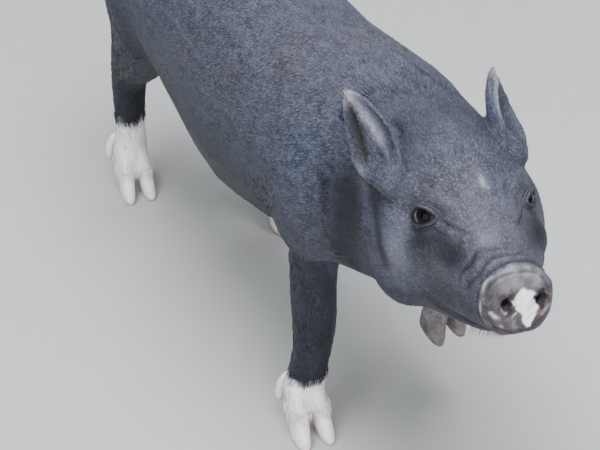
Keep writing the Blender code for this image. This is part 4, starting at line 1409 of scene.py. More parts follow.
@dataclass(frozen=True)
class Hide:
    """Slate-dark skin with a fine grain, painted sheen and painted shade, pink where the hair is white, mauve
    and wet on the snout disc with painted highlights.
    """

    slate: tuple = (0.036, 0.042, 0.066)
    shade: tuple = (0.019, 0.022, 0.032)
    brown: tuple = (0.058, 0.046, 0.048)
    # Painted sheen along the coat's strokes
    gleam: tuple = (0.112, 0.126, 0.190)
    # Painted shade: the tone laid where the coat lies in shadow
    painted_shade_tone: tuple = (0.0072, 0.0072, 0.0112)
    pink: tuple = (0.86, 0.79, 0.79)
    mauve: tuple = (0.160, 0.143, 0.150)
    patch: tuple = (1.0, 0.97, 0.99)
    # Dark red round the nostrils, and painted shade inside them
    nostril_red_and_shade: tuple = (0.035, 0.013, 0.014)
    wet: tuple = (0.007, 0.006, 0.007)

    def nap(self, graph: Graph) -> Socket:
        """Fine strokes that follow the lie of the coat.

        Args:
            graph: The material's graph.

        Returns:
            The strokes, about 0 to 1.
        """
        at = graph.node("TexCoord", {}, out="Object")
        lie = {"vector_type": "TEXTURE"}
        strokes = []
        for turn in ((-0.56, 0.0, 0.38), (-0.56, 0.0, -0.38), (-0.05, 0.0, 0.0), (1.35, 0.0, 0.0)):
            lain = graph.node("Mapping", lie, Vector=at, Rotation=turn, Scale=(1.0, 5.0, 1.0))
            strokes.append(graph.noise(lain, 1350.0, 2.0))
        right, left, face, down = strokes
        across = graph.node("SeparateXYZ", {}, at)
        trunk = right + (left - right) * across.stepped(-0.012, 0.012)
        trunk = trunk + (face - trunk) * graph.number("face")
        return trunk + (down - trunk) * graph.number("upright")

    def material(self) -> bpy.types.Material:
        """Builds the material.

        Returns:
            The hide.
        """
        graph = Graph("hide")
        at = graph.place()
        nap = self.nap(graph)
        clouds = graph.noise(at, 26.0, 4.0)
        pores = graph.noise(at, 900.0, 2.0)
        disc = graph.number("disc")
        crease = graph.number("crease")
        patchy = graph.noise(graph.place((1.0, 0.5, 1.0)), 170.0, 3.0)
        # Painted shade for the ears' slots, broken by the coat's strokes
        slot = graph.mixed(nap.stepped(0.4, 0.7), (0.0065, 0.007, 0.0065), (0.024, 0.026, 0.025))
        colour = graph.layered(
            self.slate,
            (clouds.stepped(0.35, 0.70) * 0.8, self.shade),
            ((graph.number("tint") * (0.35 + clouds.stepped(0.3, 0.75) * 0.6)).held(), self.brown),
            (patchy.stepped(0.42, 0.72) * 0.45, (0.075, 0.084, 0.115)),
            (patchy.stepped(0.55, 0.28) * 0.32, (0.014, 0.0155, 0.022)),
            # Painted sheen along the coat's strokes
            (nap.stepped(0.46, 0.70) * 0.72, self.gleam),
            # Pale face hair, and painted light on the cheek and ears
            (graph.number("pale") * 0.5, (0.33, 0.34, 0.38)),
            # Painted shade where the coat lies in shadow
            ((graph.number("dusk") * 0.9).held(), self.painted_shade_tone),
            # Painted shade in the skin's hollows
            ((crease * 0.75).held(), (0.010, 0.0095, 0.011)),
            # Painted shade in the ears' slots
            ((graph.number("ear_inside") * graph.number("ear_slot")).held(), slot),
            (graph.number("ear_tip") * 0.7, (0.30, 0.24, 0.26)),
        )
        colour = graph.mixed(1.0, colour, (0.86, 0.86, 0.86), "MULTIPLY")
        pink = graph.mixed(pores.stepped(0.35, 0.75), self.pink, (0.76, 0.65, 0.65))
        # Painted shade on the lifted foot
        pink = graph.mixed(graph.number("muddy") * 0.85, pink, (0.10, 0.085, 0.09))
        colour = graph.mixed(graph.number("sock"), colour, pink)
        mottled = graph.noise(at, 330.0, 4.0).stepped(0.36, 0.66)
        mauve = graph.layered(
            self.mauve,
            (mottled * 0.5, (0.105, 0.088, 0.095)),
            # Painted shade low down and at one side's edge, over a random tone
            (graph.number("disc_dim") * 0.88, (0.046, 0.036, 0.042)),
            # Painted reflection on the disc's upper part
            (graph.number("disc_top") * (0.60 + mottled * 0.35), (0.34, 0.325, 0.345)),
            (graph.noise(at, 120.0, 3.0).stepped(0.54, 0.68) * 0.30, (0.33, 0.31, 0.325)),
            # Painted highlights of the wet disc
            ((graph.number("disc_wet") * (0.6 + mottled * 0.4)).held(), (0.66, 0.63, 0.67)),
            # Painted shade in the disc's hollows
            ((crease * 0.8).held(), (0.03, 0.018, 0.02)),
        )
        mauve = graph.mixed(1.0, mauve, (0.88, 0.88, 0.88), "MULTIPLY")
        patch = graph.mixed(graph.noise(at, 300.0, 3.0).stepped(0.4, 0.75), self.patch, (0.95, 0.88, 0.91))
        mauve = graph.layered(
            mauve,
            (graph.number("patch"), patch),
            # Dark red round the nostrils, and painted shade inside them
            ((graph.number("nostril") * (0.75 + 0.4 * mottled)).held(), self.nostril_red_and_shade),
            # Painted highlights of the wet disc, again over the patch
            (graph.number("disc_wet") * 0.35, (0.60, 0.56, 0.60)),
        )
        colour = graph.layered(colour, (disc, mauve), (graph.number("lid_rim"), self.wet))
        wetness = graph.noise(at, 130.0, 2.0).stepped(0.40, 0.55)
        rough = 0.50 + 0.16 * pores - 0.10 * disc - 0.30 * wetness * disc - 0.10 * graph.number("lid_rim")
        cells = graph.cells(at, 950.0)
        creases = graph.cells(graph.place((1.0, 1.6, 1.0)), 230.0)
        normal = graph.bump(nap, 0.00036, 0.8)
        normal = graph.bump(creases.stepped(0.0, 0.09), 0.0002, 0.7, normal)
        pebbled = cells.stepped(0.0, 0.16) * disc + pores * 0.4 + mottled * disc
        normal = graph.bump(pebbled, 0.0003, 0.9, normal)
        return graph.finish(
            Base_Color=colour, Roughness=rough, Normal=normal, Specular_IOR_Level=0.20,
            Sheen_Weight=0.03, Sheen_Roughness=0.45, Sheen_Tint=(0.70, 0.80, 1.0, 1.0),
        )


@dataclass(frozen=True)
class HairFinish:
    """The coat's hairs: near black with bluish painted glints, white on the feet, with painted shade at each
    root and on the lifted foot.
    """

    black: tuple = (0.013, 0.0145, 0.020)
    slate: tuple = (0.072, 0.082, 0.126)
    # Painted glints on the palest hairs
    glint: tuple = (0.24, 0.265, 0.35)
    white: tuple = (0.97, 0.95, 0.96)

    def material(self) -> bpy.types.Material:
        """Builds the material.

        Returns:
            The hair.
        """
        graph = Graph("hair")
        shade = graph.number("shade")
        along = graph.number("along")
        sock = graph.number("sock")
        colour = graph.layered(
            self.black,
            (shade.stepped(0.1, 0.75), self.slate),
            # Painted glints on the palest hairs
            (shade.stepped(0.74, 1.04), self.glint),
            (graph.number("tint") * (0.2 + shade * 0.6), (0.115, 0.103, 0.108)),
            # Painted shade where the coat lies in shadow
            (graph.number("dusk") * 0.85, (0.009, 0.009, 0.012)),
            # Pale face hair, and painted light on the cheek and ears
            (graph.number("pale"), (0.62, 0.63, 0.67)),
        )
        colour = graph.mixed(1.0, colour, (0.86, 0.86, 0.86), "MULTIPLY")
        white = graph.layered(
            self.white,
            (shade * 0.45, (0.88, 0.84, 0.85)),
            # Grey strokes of painted shade between the white hairs
            (shade.stepped(0.45, 0.85) * 0.55, (0.55, 0.55, 0.60)),
            # Painted shade on the lifted foot
            (graph.number("muddy") * 0.75, (0.12, 0.105, 0.11)),
        )
        colour = graph.layered(
            colour,
            (sock, white),
            # Painted shade at each root, grey on the white hairs
            ((1 - along.stepped(0.0, 0.5)) * 0.30 * (1 - sock), (0.01, 0.01, 0.012)),
            ((1 - along.stepped(0.0, 0.7)) * sock * (0.25 + shade * 0.5), (0.50, 0.47, 0.50)),
        )
        rough = 0.32 + 0.18 * shade
        at = graph.place()
        normal = graph.bump(graph.noise(at, 2600.0, 1.0), 0.00004, 0.4)
        return graph.finish(Base_Color=colour, Roughness=rough, Normal=normal, Specular_IOR_Level=0.22)


@dataclass(frozen=True)
class WetEye:
    """A near-black wet eye with a faint pale crescent at its back corner."""

    iris: tuple = (0.0042, 0.0036, 0.004)
    pupil: tuple = (0.0015, 0.0015, 0.002)

    def material(self) -> bpy.types.Material:
        """Builds the material.

        Returns:
            The eye.
        """
        graph = Graph("wet_eye")
        out = graph.number("from_pupil")
        at = graph.place()
        rays = graph.noise(at, 900.0, 3.0)
        iris = graph.mixed(rays.stepped(0.3, 0.7), self.iris, (0.007, 0.0055, 0.0055))
        veins = graph.noise(at, 500.0, 3.0).stepped(0.4, 0.7)
        white = graph.mixed(veins, (0.13, 0.135, 0.155), (0.08, 0.07, 0.08))
        colour = graph.layered(
            self.pupil,
            (out.stepped(0.40, 0.50), iris),
            (out.stepped(0.80, 0.93), (0.006, 0.005, 0.006)),
            (out.stepped(1.0, 1.14), white),
        )
        rough = 0.10 + 0.06 * rays
        normal = graph.bump(graph.noise(at, 300.0, 1.0), 0.0001, 0.15)
        return graph.finish(
            Base_Color=colour, Roughness=rough, Normal=normal, Specular_IOR_Level=0.06,
            Coat_Weight=0.10, Coat_Roughness=0.06, Coat_IOR=1.38,
        )


@dataclass(frozen=True)
class Horn:
    """Milky pinkish horn with faint uneven growth lines, darker toward the sole, with painted shade on the
    lifted foot's toes.
    """

    pale: tuple = (0.88, 0.79, 0.785)
    rosy: tuple = (0.78, 0.61, 0.60)
    darker_low: tuple = (0.50, 0.42, 0.39)

    def material(self) -> bpy.types.Material:
        """Builds the material.

        Returns:
            The horn.
        """
        graph = Graph("horn")
        at = graph.place()
        height = graph.number("up_toe")
        lines = graph.noise(graph.place((1.0, 1.0, 5.0)), 90.0, 3.0)
        grain = graph.noise(graph.place((1.0, 1.0, 0.2)), 1100.0, 3.0)
        clouds = graph.noise(at, 140.0, 2.0)
        colour = graph.layered(
            self.pale,
            (clouds.stepped(0.35, 0.7) * (1 - height * 0.5), self.rosy),
            (lines.stepped(0.45, 0.7) * 0.40, (0.55, 0.43, 0.42)),
            (grain.stepped(0.45, 0.75) * 0.35, (0.84, 0.80, 0.79)),
            # Darker toward the sole
            ((1 - height.stepped(0.0, 0.22)) * 0.7, self.darker_low),
            # Painted shade on the lifted foot's toes
            ((graph.number("muddy") * (0.72 + clouds * 0.4)).held(), (0.075, 0.062, 0.068)),
        )
        rough = 0.42 + 0.22 * grain
        normal = graph.bump(lines, 0.00025, 0.4)
        normal = graph.bump(grain, 0.00012, 0.5, normal)
        return graph.finish(
            Base_Color=colour, Roughness=rough, Normal=normal, Subsurface_Weight=0.10,
            Subsurface_Radius=(0.004, 0.0015, 0.001), Subsurface_Scale=0.5,
        )


@dataclass
class SkinDressing:
    """Stores the skin's markings for its material."""

    skin: Skin
    markings: Markings
    plan: HeadPlan

    def dress(self) -> None:
        """Stores the attributes and gives the skin its material."""
        obj, region, marks = self.skin.obj, self.skin.region, self.markings
        mesh = obj.data
        points = places(mesh)
        normal = facings(mesh)
        web = Web(mesh)
        top_reflection, wet, dim = marks.disc_tones(points)
        # Painted shade in the skin's hollows, from how far each vertex lies below its neighbours
        hollow = ((web.mean(points) - points) * normal).sum(1)
        crease = np.clip(hollow / np.maximum(web.spans(points), 1e-6) * 5.0, 0, 1)
        head = (region >= Region.HEAD) & (region <= Region.EAR_RIGHT)
        numbers = {
            "sock": marks.sock(points, region),
            "disc": marks.disc(points, region),
            "patch": marks.snout_patch(points),
            "tint": marks.tint(points),
            # Painted shade where the coat lies in shadow
            "dusk": marks.dusk(points, region),
            # Pale face hair, and painted light on the cheek and ears
            "pale": marks.pale_and_lit(points, region),
            # Painted shade on the lifted foot
            "muddy": (region == Region.LEG_FRONT_LEFT).astype(float),
            # Painted shade in the ears' slots
            "ear_slot": marks.ear_slot(points, region),
            "ear_tip": marks.ear_tip(points, region),
            "nostril": marks.nostril(points, region),
            # Painted reflection, painted highlights and painted shade of the disc, over a random tone
            "disc_top": top_reflection,
            "disc_wet": wet,
            "disc_dim": dim,
            "crease": web.blurred(crease, 2),
            "lid_rim": self.lid_rim(points),
            "ear_inside": self.ear_inside(normal),
            "upright": web.blurred((region >= Region.LEG_FRONT_LEFT).astype(float), 10),
            "face": web.blurred(head.astype(float), 12),
        }
        for name, values in numbers.items():
            set_number(mesh, name, values)
        mesh.materials.clear()
        mesh.materials.append(Hide().material())
        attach(obj, "root")
        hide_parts(*FLESH_NODES)

    def lid_rim(self, points: np.ndarray) -> np.ndarray:
        """How far each vertex is on the wet rim of a lid, from 0 to 1.

        Args:
            points: The skin's vertices.

        Returns:
            One number a vertex.
        """
        rim = np.zeros(len(points))
        for side in (1, -1):
            near, out = self.plan.beside_eye(points, side, 1.6)
            rim[near] = np.maximum(rim, 1 - eased(out, 1.10, 1.32))[near]
        return rim

    def ear_inside(self, normal: np.ndarray) -> np.ndarray:
        """How far each vertex faces out of an ear's cup, from 0 to 1.

        Args:
            normal: The skin's vertex normals.

        Returns:
            One number a vertex.
        """
        inside = np.zeros(len(normal))
        for ear in EARS:
            rows = self.skin.region == ear.region
            inside[rows] = eased(normal[rows] @ (self.plan.axes.columns @ ear.opening()), 0.0, 0.5)
        return inside


@dataclass
class Eye:
    """One wet eyeball in its socket."""

    plan: HeadPlan
    side: int
    name: str
    bulge: float = 0.07
    cornea: float = 0.72
    iris: float = 0.56
    glance: float = 0.0
    upward: float = 0.12
    segments: int = 64
    rings: int = 40

    def build(self) -> None:
        """Makes the eyeball with its clear bulge toward the look."""
        eye = self.plan.eye(self.side)
        bpy.ops.object.select_all(action="DESELECT")
        bpy.ops.mesh.primitive_uv_sphere_add(segments=self.segments, ring_count=self.rings, radius=1.0)
        obj = bpy.context.object
        obj.name = self.name + "_ball"
        bpy.ops.object.mode_set(mode="EDIT")
        bpy.ops.mesh.select_all(action="SELECT")
        bpy.ops.mesh.quads_convert_to_tris()
        bpy.ops.object.mode_set(mode="OBJECT")
        mesh = obj.data
        ball = places(mesh)[:, (0, 2, 1)] * (1, 1, -1)
        looks = unit(np.array([[self.glance, 1.0, self.upward]]))[0]
        out = np.linalg.norm(np.cross(ball, looks), axis=1)
        front = ball[:, 1] > 0
        swell = front * (1 - eased(out, self.cornea * 0.6, self.cornea * 1.25)) * self.bulge
        local = ball * (self.plan.eye_radius * (1 + swell))[:, None]
        set_places(mesh, eye.out_of(local))
        set_number(mesh, "from_pupil", np.where(front, out / self.iris, 2.0))
        bpy.ops.object.shade_smooth()
        mesh.materials.clear()
        mesh.materials.append(WetEye().material())
        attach(obj, "root")
        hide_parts(self.name)


@dataclass
class Toe:
    """One hoof half or dewclaw, rounded and ringed over its solid."""

    node: str
    grain: float = 0.0007
    finish: bpy.types.Material = None
    rounds: int = 9
    pulls: tuple = (0.55, -0.57)
    unevenness: float = 0.0001

    def build(self) -> None:
        """Copies the solid, rounds its edges and keeps its sole flat."""
        shape = bmesh.new()
        shape.from_mesh(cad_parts[self.node].data)
        bmesh.ops.remove_doubles(shape, verts=shape.verts, dist=WELD)
        mesh = bpy.data.meshes.new(self.node)
        shape.to_mesh(mesh)
        shape.free()
        low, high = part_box(self.node)
        obj = new_object(self.node.replace("hoof", "horn").replace("dewclaw", "claw"), mesh)
        remeshed(obj, self.grain)
        mesh = obj.data
        points = Web(mesh).smoothed(places(mesh), self.rounds, self.pulls)
        height = (points[:, 2] - low.z) / (high.z - low.z)
        set_places(mesh, points)
        uneven = 0.6 * ripple(points, 0.006, 31) + 0.4 * ripple(points * (1, 1, 4), 0.008, 32)
        points = points + facings(mesh) * (self.unevenness * uneven * eased(height, 0.05, 0.2))[:, None]
        points[:, 2] = np.maximum(points[:, 2], low.z)
        set_places(mesh, points)
        set_number(mesh, "up_toe", height)
        # Painted shade on the lifted foot's toes
        set_number(mesh, "muddy", np.full(len(points), float("front_left" in self.node)))
        bpy.ops.object.shade_smooth()
        mesh.materials.clear()
        mesh.materials.append(self.finish)
        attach(obj, "root")
        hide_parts(self.node)


@dataclass(frozen=True)
class Length:
    """How long, wide and raised the hairs of one part are: metres, metres and the sine of the lift."""

    long: float
    wide: float
    lift: float


@dataclass(frozen=True)
class CoatPart:
    """One piece of the coat: which regions it covers, on which side, and how many hairs it has."""

    name: str
    regions: tuple
    hairs: int
    side: int = 0


COAT_PARTS = (
    CoatPart("coat_trunk_left", (Region.TORSO,), 19500, 1),
    CoatPart("coat_trunk_right", (Region.TORSO,), 19500, -1),
    CoatPart("coat_neck", (Region.NECK,), 11500),
    CoatPart("coat_head_left", (Region.HEAD,), 14500, 1),
    CoatPart("coat_head_right", (Region.HEAD,), 14500, -1),
    CoatPart("coat_ears", (Region.EAR_LEFT, Region.EAR_RIGHT), 9000),
    CoatPart("coat_tail", (Region.TAIL,), 1500),
    CoatPart("coat_forelegs", (Region.LEG_FRONT_LEFT, Region.LEG_FRONT_RIGHT), 15500),
    CoatPart("coat_hind_legs", (Region.LEG_HIND_LEFT, Region.LEG_HIND_RIGHT), 17500),
)


class Tufts:
    """Many three-sided tapering hairs, kept as arrays until they become one mesh."""

    RING = (0.0, 2.0944, 4.18879)
    WIDTHS = (1.0, 0.78)
    ALONG = (0.0, 0.0, 0.0, 0.55, 0.55, 0.55, 1.0)
    PATCH = (0.0014, 0.0008)
    FACES = np.array([
        (0, 2, 1), (0, 1, 4), (0, 4, 3), (1, 2, 5), (1, 5, 4),
        (2, 0, 3), (2, 3, 5), (3, 4, 6), (4, 5, 6), (5, 3, 6),
    ])

    def __init__(self) -> None:
        """Starts with no hairs."""
        self.corners: list = []
        self.numbers: dict = {}
        self.patches: list = []

    def add(
        self, root: np.ndarray, bend: np.ndarray, tip: np.ndarray, up: np.ndarray,
        wide: np.ndarray, patch: np.ndarray, numbers: dict,
    ) -> None:
        """Adds hairs.

        Args:
            root: Where each starts.
            bend: Its middle.
            tip: Its end.
            up: The skin's normal at its root.
            wide: Its width at the root.
            patch: Its root's place on the unwrap.
            numbers: One number a hair for each attribute.
        """
        axis = unit(tip - root)
        across = unit(np.cross(axis, up))
        away = np.cross(axis, across)
        rows = []
        for centre, share in zip((root, bend), self.WIDTHS):
            for turn in self.RING:
                way = across * math.cos(turn) + away * math.sin(turn)
                rows.append(centre + way * (wide * share / 2)[:, None])
        rows.append(tip)
        self.corners.append(np.stack(rows, axis=1))
        spread = np.array([
            *((math.cos(t) * r, math.sin(t) * r) for r in self.PATCH for t in self.RING), (0.0, 0.0),
        ])
        self.patches.append(patch[:, None, :] + spread[None])
        for name, values in numbers.items():
            self.numbers.setdefault(name, []).append(values)

    def mesh(self, name: str) -> bpy.types.Mesh:
        """Turns the hairs into one mesh with its OFBake map.

        Args:
            name: The mesh's name.

        Returns:
            The mesh.
        """
        corners = np.concatenate(self.corners)
        patches = np.clip(np.concatenate(self.patches), 0.0, 1.0)
        count = len(corners)
        corner_count = len(self.ALONG)
        faces = (self.FACES[None] + (np.arange(count) * corner_count)[:, None, None]).reshape(-1)
        mesh = bpy.data.meshes.new(name)
        mesh.vertices.add(count * corner_count)
        mesh.vertices.foreach_set("co", corners.astype(np.float32).ravel())
        mesh.loops.add(len(faces))
        mesh.loops.foreach_set("vertex_index", faces.astype(np.int32))
        mesh.polygons.add(len(faces) // 3)
        mesh.polygons.foreach_set("loop_start", np.arange(0, len(faces), 3, dtype=np.int32))
        mesh.polygons.foreach_set("use_smooth", np.ones(len(faces) // 3, bool))
        mesh.update(calc_edges=True)
        layer = mesh.uv_layers.new(name="OFBake")
        layer.data.foreach_set("uv", patches.reshape(-1, 2)[faces].astype(np.float32).ravel())
        for key, values in self.numbers.items():
            set_number(mesh, key, np.repeat(np.concatenate(values), corner_count))
        set_number(mesh, "along", np.tile(self.ALONG, count))
        return mesh


@dataclass
class Coat:
    """The short coat: flat hairs along the body, bristles on the chin, lashes, and fringes at the feet."""

    skin: Skin
    markings: Markings
    plan: HeadPlan
    seed: int = 71
    in_tuft: int = 2
    stray: tuple = (0.00045, 0.0009)
    root_depth: float = 0.0003
    lowest_tip: float = 0.0006
    lowest_bend: float = 0.0008
    guide_share: float = 0.05
    bare_below: float = 0.004
    chin_bristles: int = 210
    lip_bristles: int = 90
    brow_bristles: int = 24
    lashes: int = 34
    fringe_hairs: int = 720
    cuff_hairs: int = 520

    def build(self) -> None:
        """Grows every piece of the coat on the finished skin."""
        mesh = self.skin.obj.data
        self.rng = np.random.default_rng(self.seed)
        self.points = places(mesh)
        self.normals = facings(mesh)
        self.region = self.skin.region
        self.triangles = triangles_of(mesh)
        self.flow = self.lie()
        self.unwrap()
        material = HairFinish().material()
        for part in COAT_PARTS:
            tufts = Tufts()
            self.cover(part, tufts)
            if part.name == "coat_head_left":
                self.bristles(tufts)
            for foot, place in zip(FEET, LEGS):
                if place in part.regions:
                    self.fringe(tufts, foot, place)
                    self.cuff(tufts, place)
            obj = new_object(part.name, tufts.mesh(part.name))
            obj.data.materials.append(material)
            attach(obj, "root")
            LOG.info("%s: %d triangles", part.name, len(obj.data.polygons))

    def lie(self) -> np.ndarray:
        """The way the coat lies, for each vertex of the skin.

        Returns:
            Unit tangents.
        """
        points, region = self.points, self.region
        turn = self.plan.axes.columns
        way = np.zeros((len(points), 3))
        side = np.sign(points[:, 0])
        trunk = region <= Region.NECK
        flank = eased(np.abs(points[trunk, 0]), 0.004, 0.045)
        way[trunk] = np.stack([0.40 * side[trunk] * flank, np.ones(len(flank)), -0.62 * flank], axis=1)
        legs = region >= Region.LEG_FRONT_LEFT
        way[legs] = (0.0, 0.22, -1.0)
        local = self.plan.axes.into(points)
        head = region == Region.HEAD
        inner = np.zeros((head.sum(), 3))
        inner[:, 1] = 1.0
        inner[:, 0] = 0.10 * local[head, 0]
        inner[:, 2] = -0.35 * eased(np.abs(local[head, 0]), 1.5, 4.0)
        inner[:, 2] -= 0.25 * eased(-local[head, 2], 1.5, 3.5)
        way[head] = inner @ turn.T
        for place, tip in ((Region.EAR_LEFT, (-0.1, 0.77, 0.63)), (Region.EAR_RIGHT, (-0.18, 0.65, 0.74))):
            way[region == place] = turn @ np.array(tip)
        way[region == Region.TAIL] = (0.0, 0.15, -1.0)
        web = Web(self.skin.obj.data)
        way = unit(way)
        for _ in range(24):
            way = web.mean(way)
            way -= self.normals * (way * self.normals).sum(1)[:, None]
            way = unit(way)
        return way

    def unwrap(self) -> None:
        """Unwraps a thinned copy of the skin, for the hairs' places on the OFBake map."""
        copy = self.skin.obj.data.copy()
        copy.materials.clear()
        obj = new_object("unwrap_guide", copy)
        thin = obj.modifiers.new("thin", "DECIMATE")
        thin.ratio = self.guide_share
        apply_all(obj)
        bpy.ops.object.mode_set(mode="EDIT")
        bpy.ops.mesh.select_all(action="SELECT")
        bpy.ops.uv.smart_project(angle_limit=math.radians(66), island_margin=0.004)
        bpy.ops.object.mode_set(mode="OBJECT")
        mesh = obj.data
        self.guide_faces = triangles_of(mesh)
        spots = read(mesh.uv_layers.active.data, "uv", 2, np.float32)
        self.guide_spots = spots[read(mesh.loop_triangles, "loops", 3, np.int32)]
        self.guide_points = places(mesh)
        self.guide = BVHTree.FromPolygons(self.guide_points.tolist(), self.guide_faces.tolist())
        bpy.data.objects.remove(obj)

    def patch_at(self, roots: np.ndarray) -> np.ndarray:
        """The roots' places on the unwrap.

        Args:
            roots: World places on the skin.

        Returns:
            Two numbers a root.
        """
        near = np.empty((len(roots), 3))
        face = np.empty(len(roots), int)
        for index, root in enumerate(roots.tolist()):
            at, _, face[index], _ = self.guide.find_nearest(root)
            near[index] = at
        a, b, c = (self.guide_points[self.guide_faces[face, k]] for k in range(3))
        v0, v1, v2 = b - a, c - a, near - a
        d00, d01, d11 = (v0 * v0).sum(1), (v0 * v1).sum(1), (v1 * v1).sum(1)
        d20, d21 = (v2 * v0).sum(1), (v2 * v1).sum(1)
        base = np.maximum(d00 * d11 - d01 * d01, 1e-20)
        v = (d11 * d20 - d01 * d21) / base
        w = (d00 * d21 - d01 * d20) / base
        share = np.clip(np.stack([1 - v - w, v, w], axis=1), 0, 1)
        return (self.guide_spots[face] * share[:, :, None]).sum(1)

    def bare(self, points: np.ndarray, region: np.ndarray) -> np.ndarray:
        """Where no hair grows: the disc, the lids' rims, the eyes and the soles.

        Args:
            points: World places.
            region: Their regions.

        Returns:
            0 where it is bare, 1 where hair grows.
        """
        grows = 1 - self.markings.disc(points, region)
        for side in (1, -1):
            near, outward = self.plan.beside_eye(points, side, 1.8)
            grows[near & (outward < 1.22)] = 0
        grows[points[:, 2] < self.bare_below] = 0
        return grows

    def measures(self, points: np.ndarray, region: np.ndarray) -> tuple[np.ndarray, np.ndarray, np.ndarray]:
        """How long, wide and raised the hairs are.

        Args:
            points: World places of the roots.
            region: Their regions.

        Returns:
            Lengths, widths and lifts.
        """
        table = {
            Region.TORSO: Length(0.0056, 0.00023, 0.065), Region.NECK: Length(0.0054, 0.00023, 0.06),
            Region.HEAD: Length(0.0042, 0.00020, 0.065), Region.EAR_LEFT: Length(0.0034, 0.00018, 0.12),
            Region.EAR_RIGHT: Length(0.0034, 0.00018, 0.12), Region.TAIL: Length(0.0080, 0.00030, 0.22),
        }
        leg = Length(0.0050, 0.00025, 0.09)
        rows = np.array([[m.long, m.wide, m.lift] for m in (table.get(place, leg) for place in Region)])
        long, wide, lift = rows[region].T.copy()
        snout = eased(-self.plan.axes.into(points)[:, 1], 0.0, 5.0) * (region == Region.HEAD)
        long *= 1 - 0.42 * snout
        wide *= 1 - 0.20 * snout
        back = eased(points[:, 2], 0.24, 0.28) * (region <= Region.NECK)
        long *= 1 + 0.12 * back
        white = self.markings.sock(points, region)
        long *= 1 + 0.25 * white
        wide *= 1 + 0.25 * white
        lift += 0.03 * white
        for side in (1, -1):
            near = bell(np.linalg.norm(self.plan.eye(side).into(points), axis=1), 1.0, 0.7)
            long *= 1 - 0.35 * near * (region == Region.HEAD)
        return long, wide, lift

    def cover(self, part: CoatPart, tufts: Tufts) -> None:
        """Lays one piece's hairs over its regions.

        Args:
            part: The piece.
            tufts: What they are added to.
        """
        wanted = np.isin(self.region, part.regions)
        faces = self.triangles[wanted[self.triangles[:, 0]]]
        middle = self.points[faces].mean(1)
        if part.side:
            faces = faces[middle[:, 0] * part.side > self.middle_of(part) * part.side]
        a, b, c = (self.points[faces[:, k]] for k in range(3))
        area = np.linalg.norm(np.cross(b - a, c - a), axis=1)
        centre = (a + b + c) / 3
        area *= self.bare(centre, self.region[faces[:, 0]])
        tufts_wanted = part.hairs // self.in_tuft
        pick = self.rng.choice(len(faces), tufts_wanted, p=area / area.sum())
        u, v = self.rng.random(tufts_wanted), self.rng.random(tufts_wanted)
        flip = u + v > 1
        u[flip], v[flip] = 1 - u[flip], 1 - v[flip]
        share = np.stack([1 - u - v, u, v], axis=1)[:, :, None]
        chosen = faces[pick]
        root = (self.points[chosen] * share).sum(1)
        up = unit((self.normals[chosen] * share).sum(1))
        way = unit((self.flow[chosen] * share).sum(1))
        region = self.region[chosen[:, 0]]
        root, up, way = (np.repeat(values, self.in_tuft, axis=0) for values in (root, up, way))
        across = np.cross(up, way)
        off = self.rng.normal(size=(len(root), 2)) * self.stray
        root = root + across * off[:, :1] + way * off[:, 1:]
        self.grow(tufts, root, up, unit(way - across * (off[:, :1] / 0.006)), np.repeat(region, self.in_tuft))

    def middle_of(self, part: CoatPart) -> float:
        """Where a piece that covers one side starts across the body."""
        return float(self.plan.axes.origin[0]) if Region.HEAD in part.regions else 0.0

    def grow(
        self, tufts: Tufts, root: np.ndarray, up: np.ndarray, way: np.ndarray, region: np.ndarray,
        scale: float = 1.0, raise_by: float = 0.0, droop: float = 0.0,
    ) -> None:
        """Grows hairs from roots.

        Args:
            tufts: What they are added to.
            root: Their roots.
            up: The skin's normals there.
            way: The way they lie.
            region: Their regions.
            scale: Lengthens them.
            raise_by: Lifts them more.
            droop: How far gravity turns them down.
        """
        count = len(root)
        rng = self.rng
        shared = np.repeat(rng.normal(size=count // self.in_tuft + 1), self.in_tuft)[:count]
        long, wide, lift = self.measures(root, region)
        long *= scale * rng.uniform(0.7, 1.2, count)
        turn = 0.12 * ripple(root, 0.025, 41) + 0.07 * shared + 0.05 * rng.normal(size=count)
        across = np.cross(up, way)
        way = unit(way * np.cos(turn)[:, None] + across * np.sin(turn)[:, None])
        rise = np.clip(lift + raise_by + 0.035 * rng.normal(size=count) + 0.025 * shared, 0.03, 1.2)
        out = unit(way + up * rise[:, None] * 1.35)
        end = unit(way + up * (rise * 0.45)[:, None] + np.array((0, 0, -droop)))
        root = root - up * self.root_depth
        bend = root + out * (long * 0.5)[:, None]
        tip = bend + end * (long * 0.5)[:, None]
        tip[:, 2] = np.maximum(tip[:, 2], self.lowest_tip)
        bend[:, 2] = np.maximum(bend[:, 2], self.lowest_bend)
        shade = 0.45 + 0.17 * rng.normal(size=count) + 0.26 * shared + 0.08 * ripple(root, 0.010, 43)
        strayed = root + 0.0022 * rng.normal(size=(count, 3))
        numbers = {
            "shade": np.clip(shade, 0, 1),
            "tint": self.markings.tint(root),
            # Pale face hair, and painted light on the cheek and ears
            "pale": self.markings.pale_and_lit(root, region),
            # Painted shade where the coat lies in shadow, and in the ears' slots
            "dusk": np.maximum(self.markings.dusk(root, region), self.markings.ear_slot(root, region)),
            # Painted shade on the lifted foot
            "muddy": (region == Region.LEG_FRONT_LEFT).astype(float),
            "sock": (self.markings.sock(strayed, region) > rng.uniform(0.25, 0.75, count)).astype(float),
        }
        tufts.add(root, bend, tip, up, wide * rng.uniform(0.8, 1.2, count), self.patch_at(root), numbers)

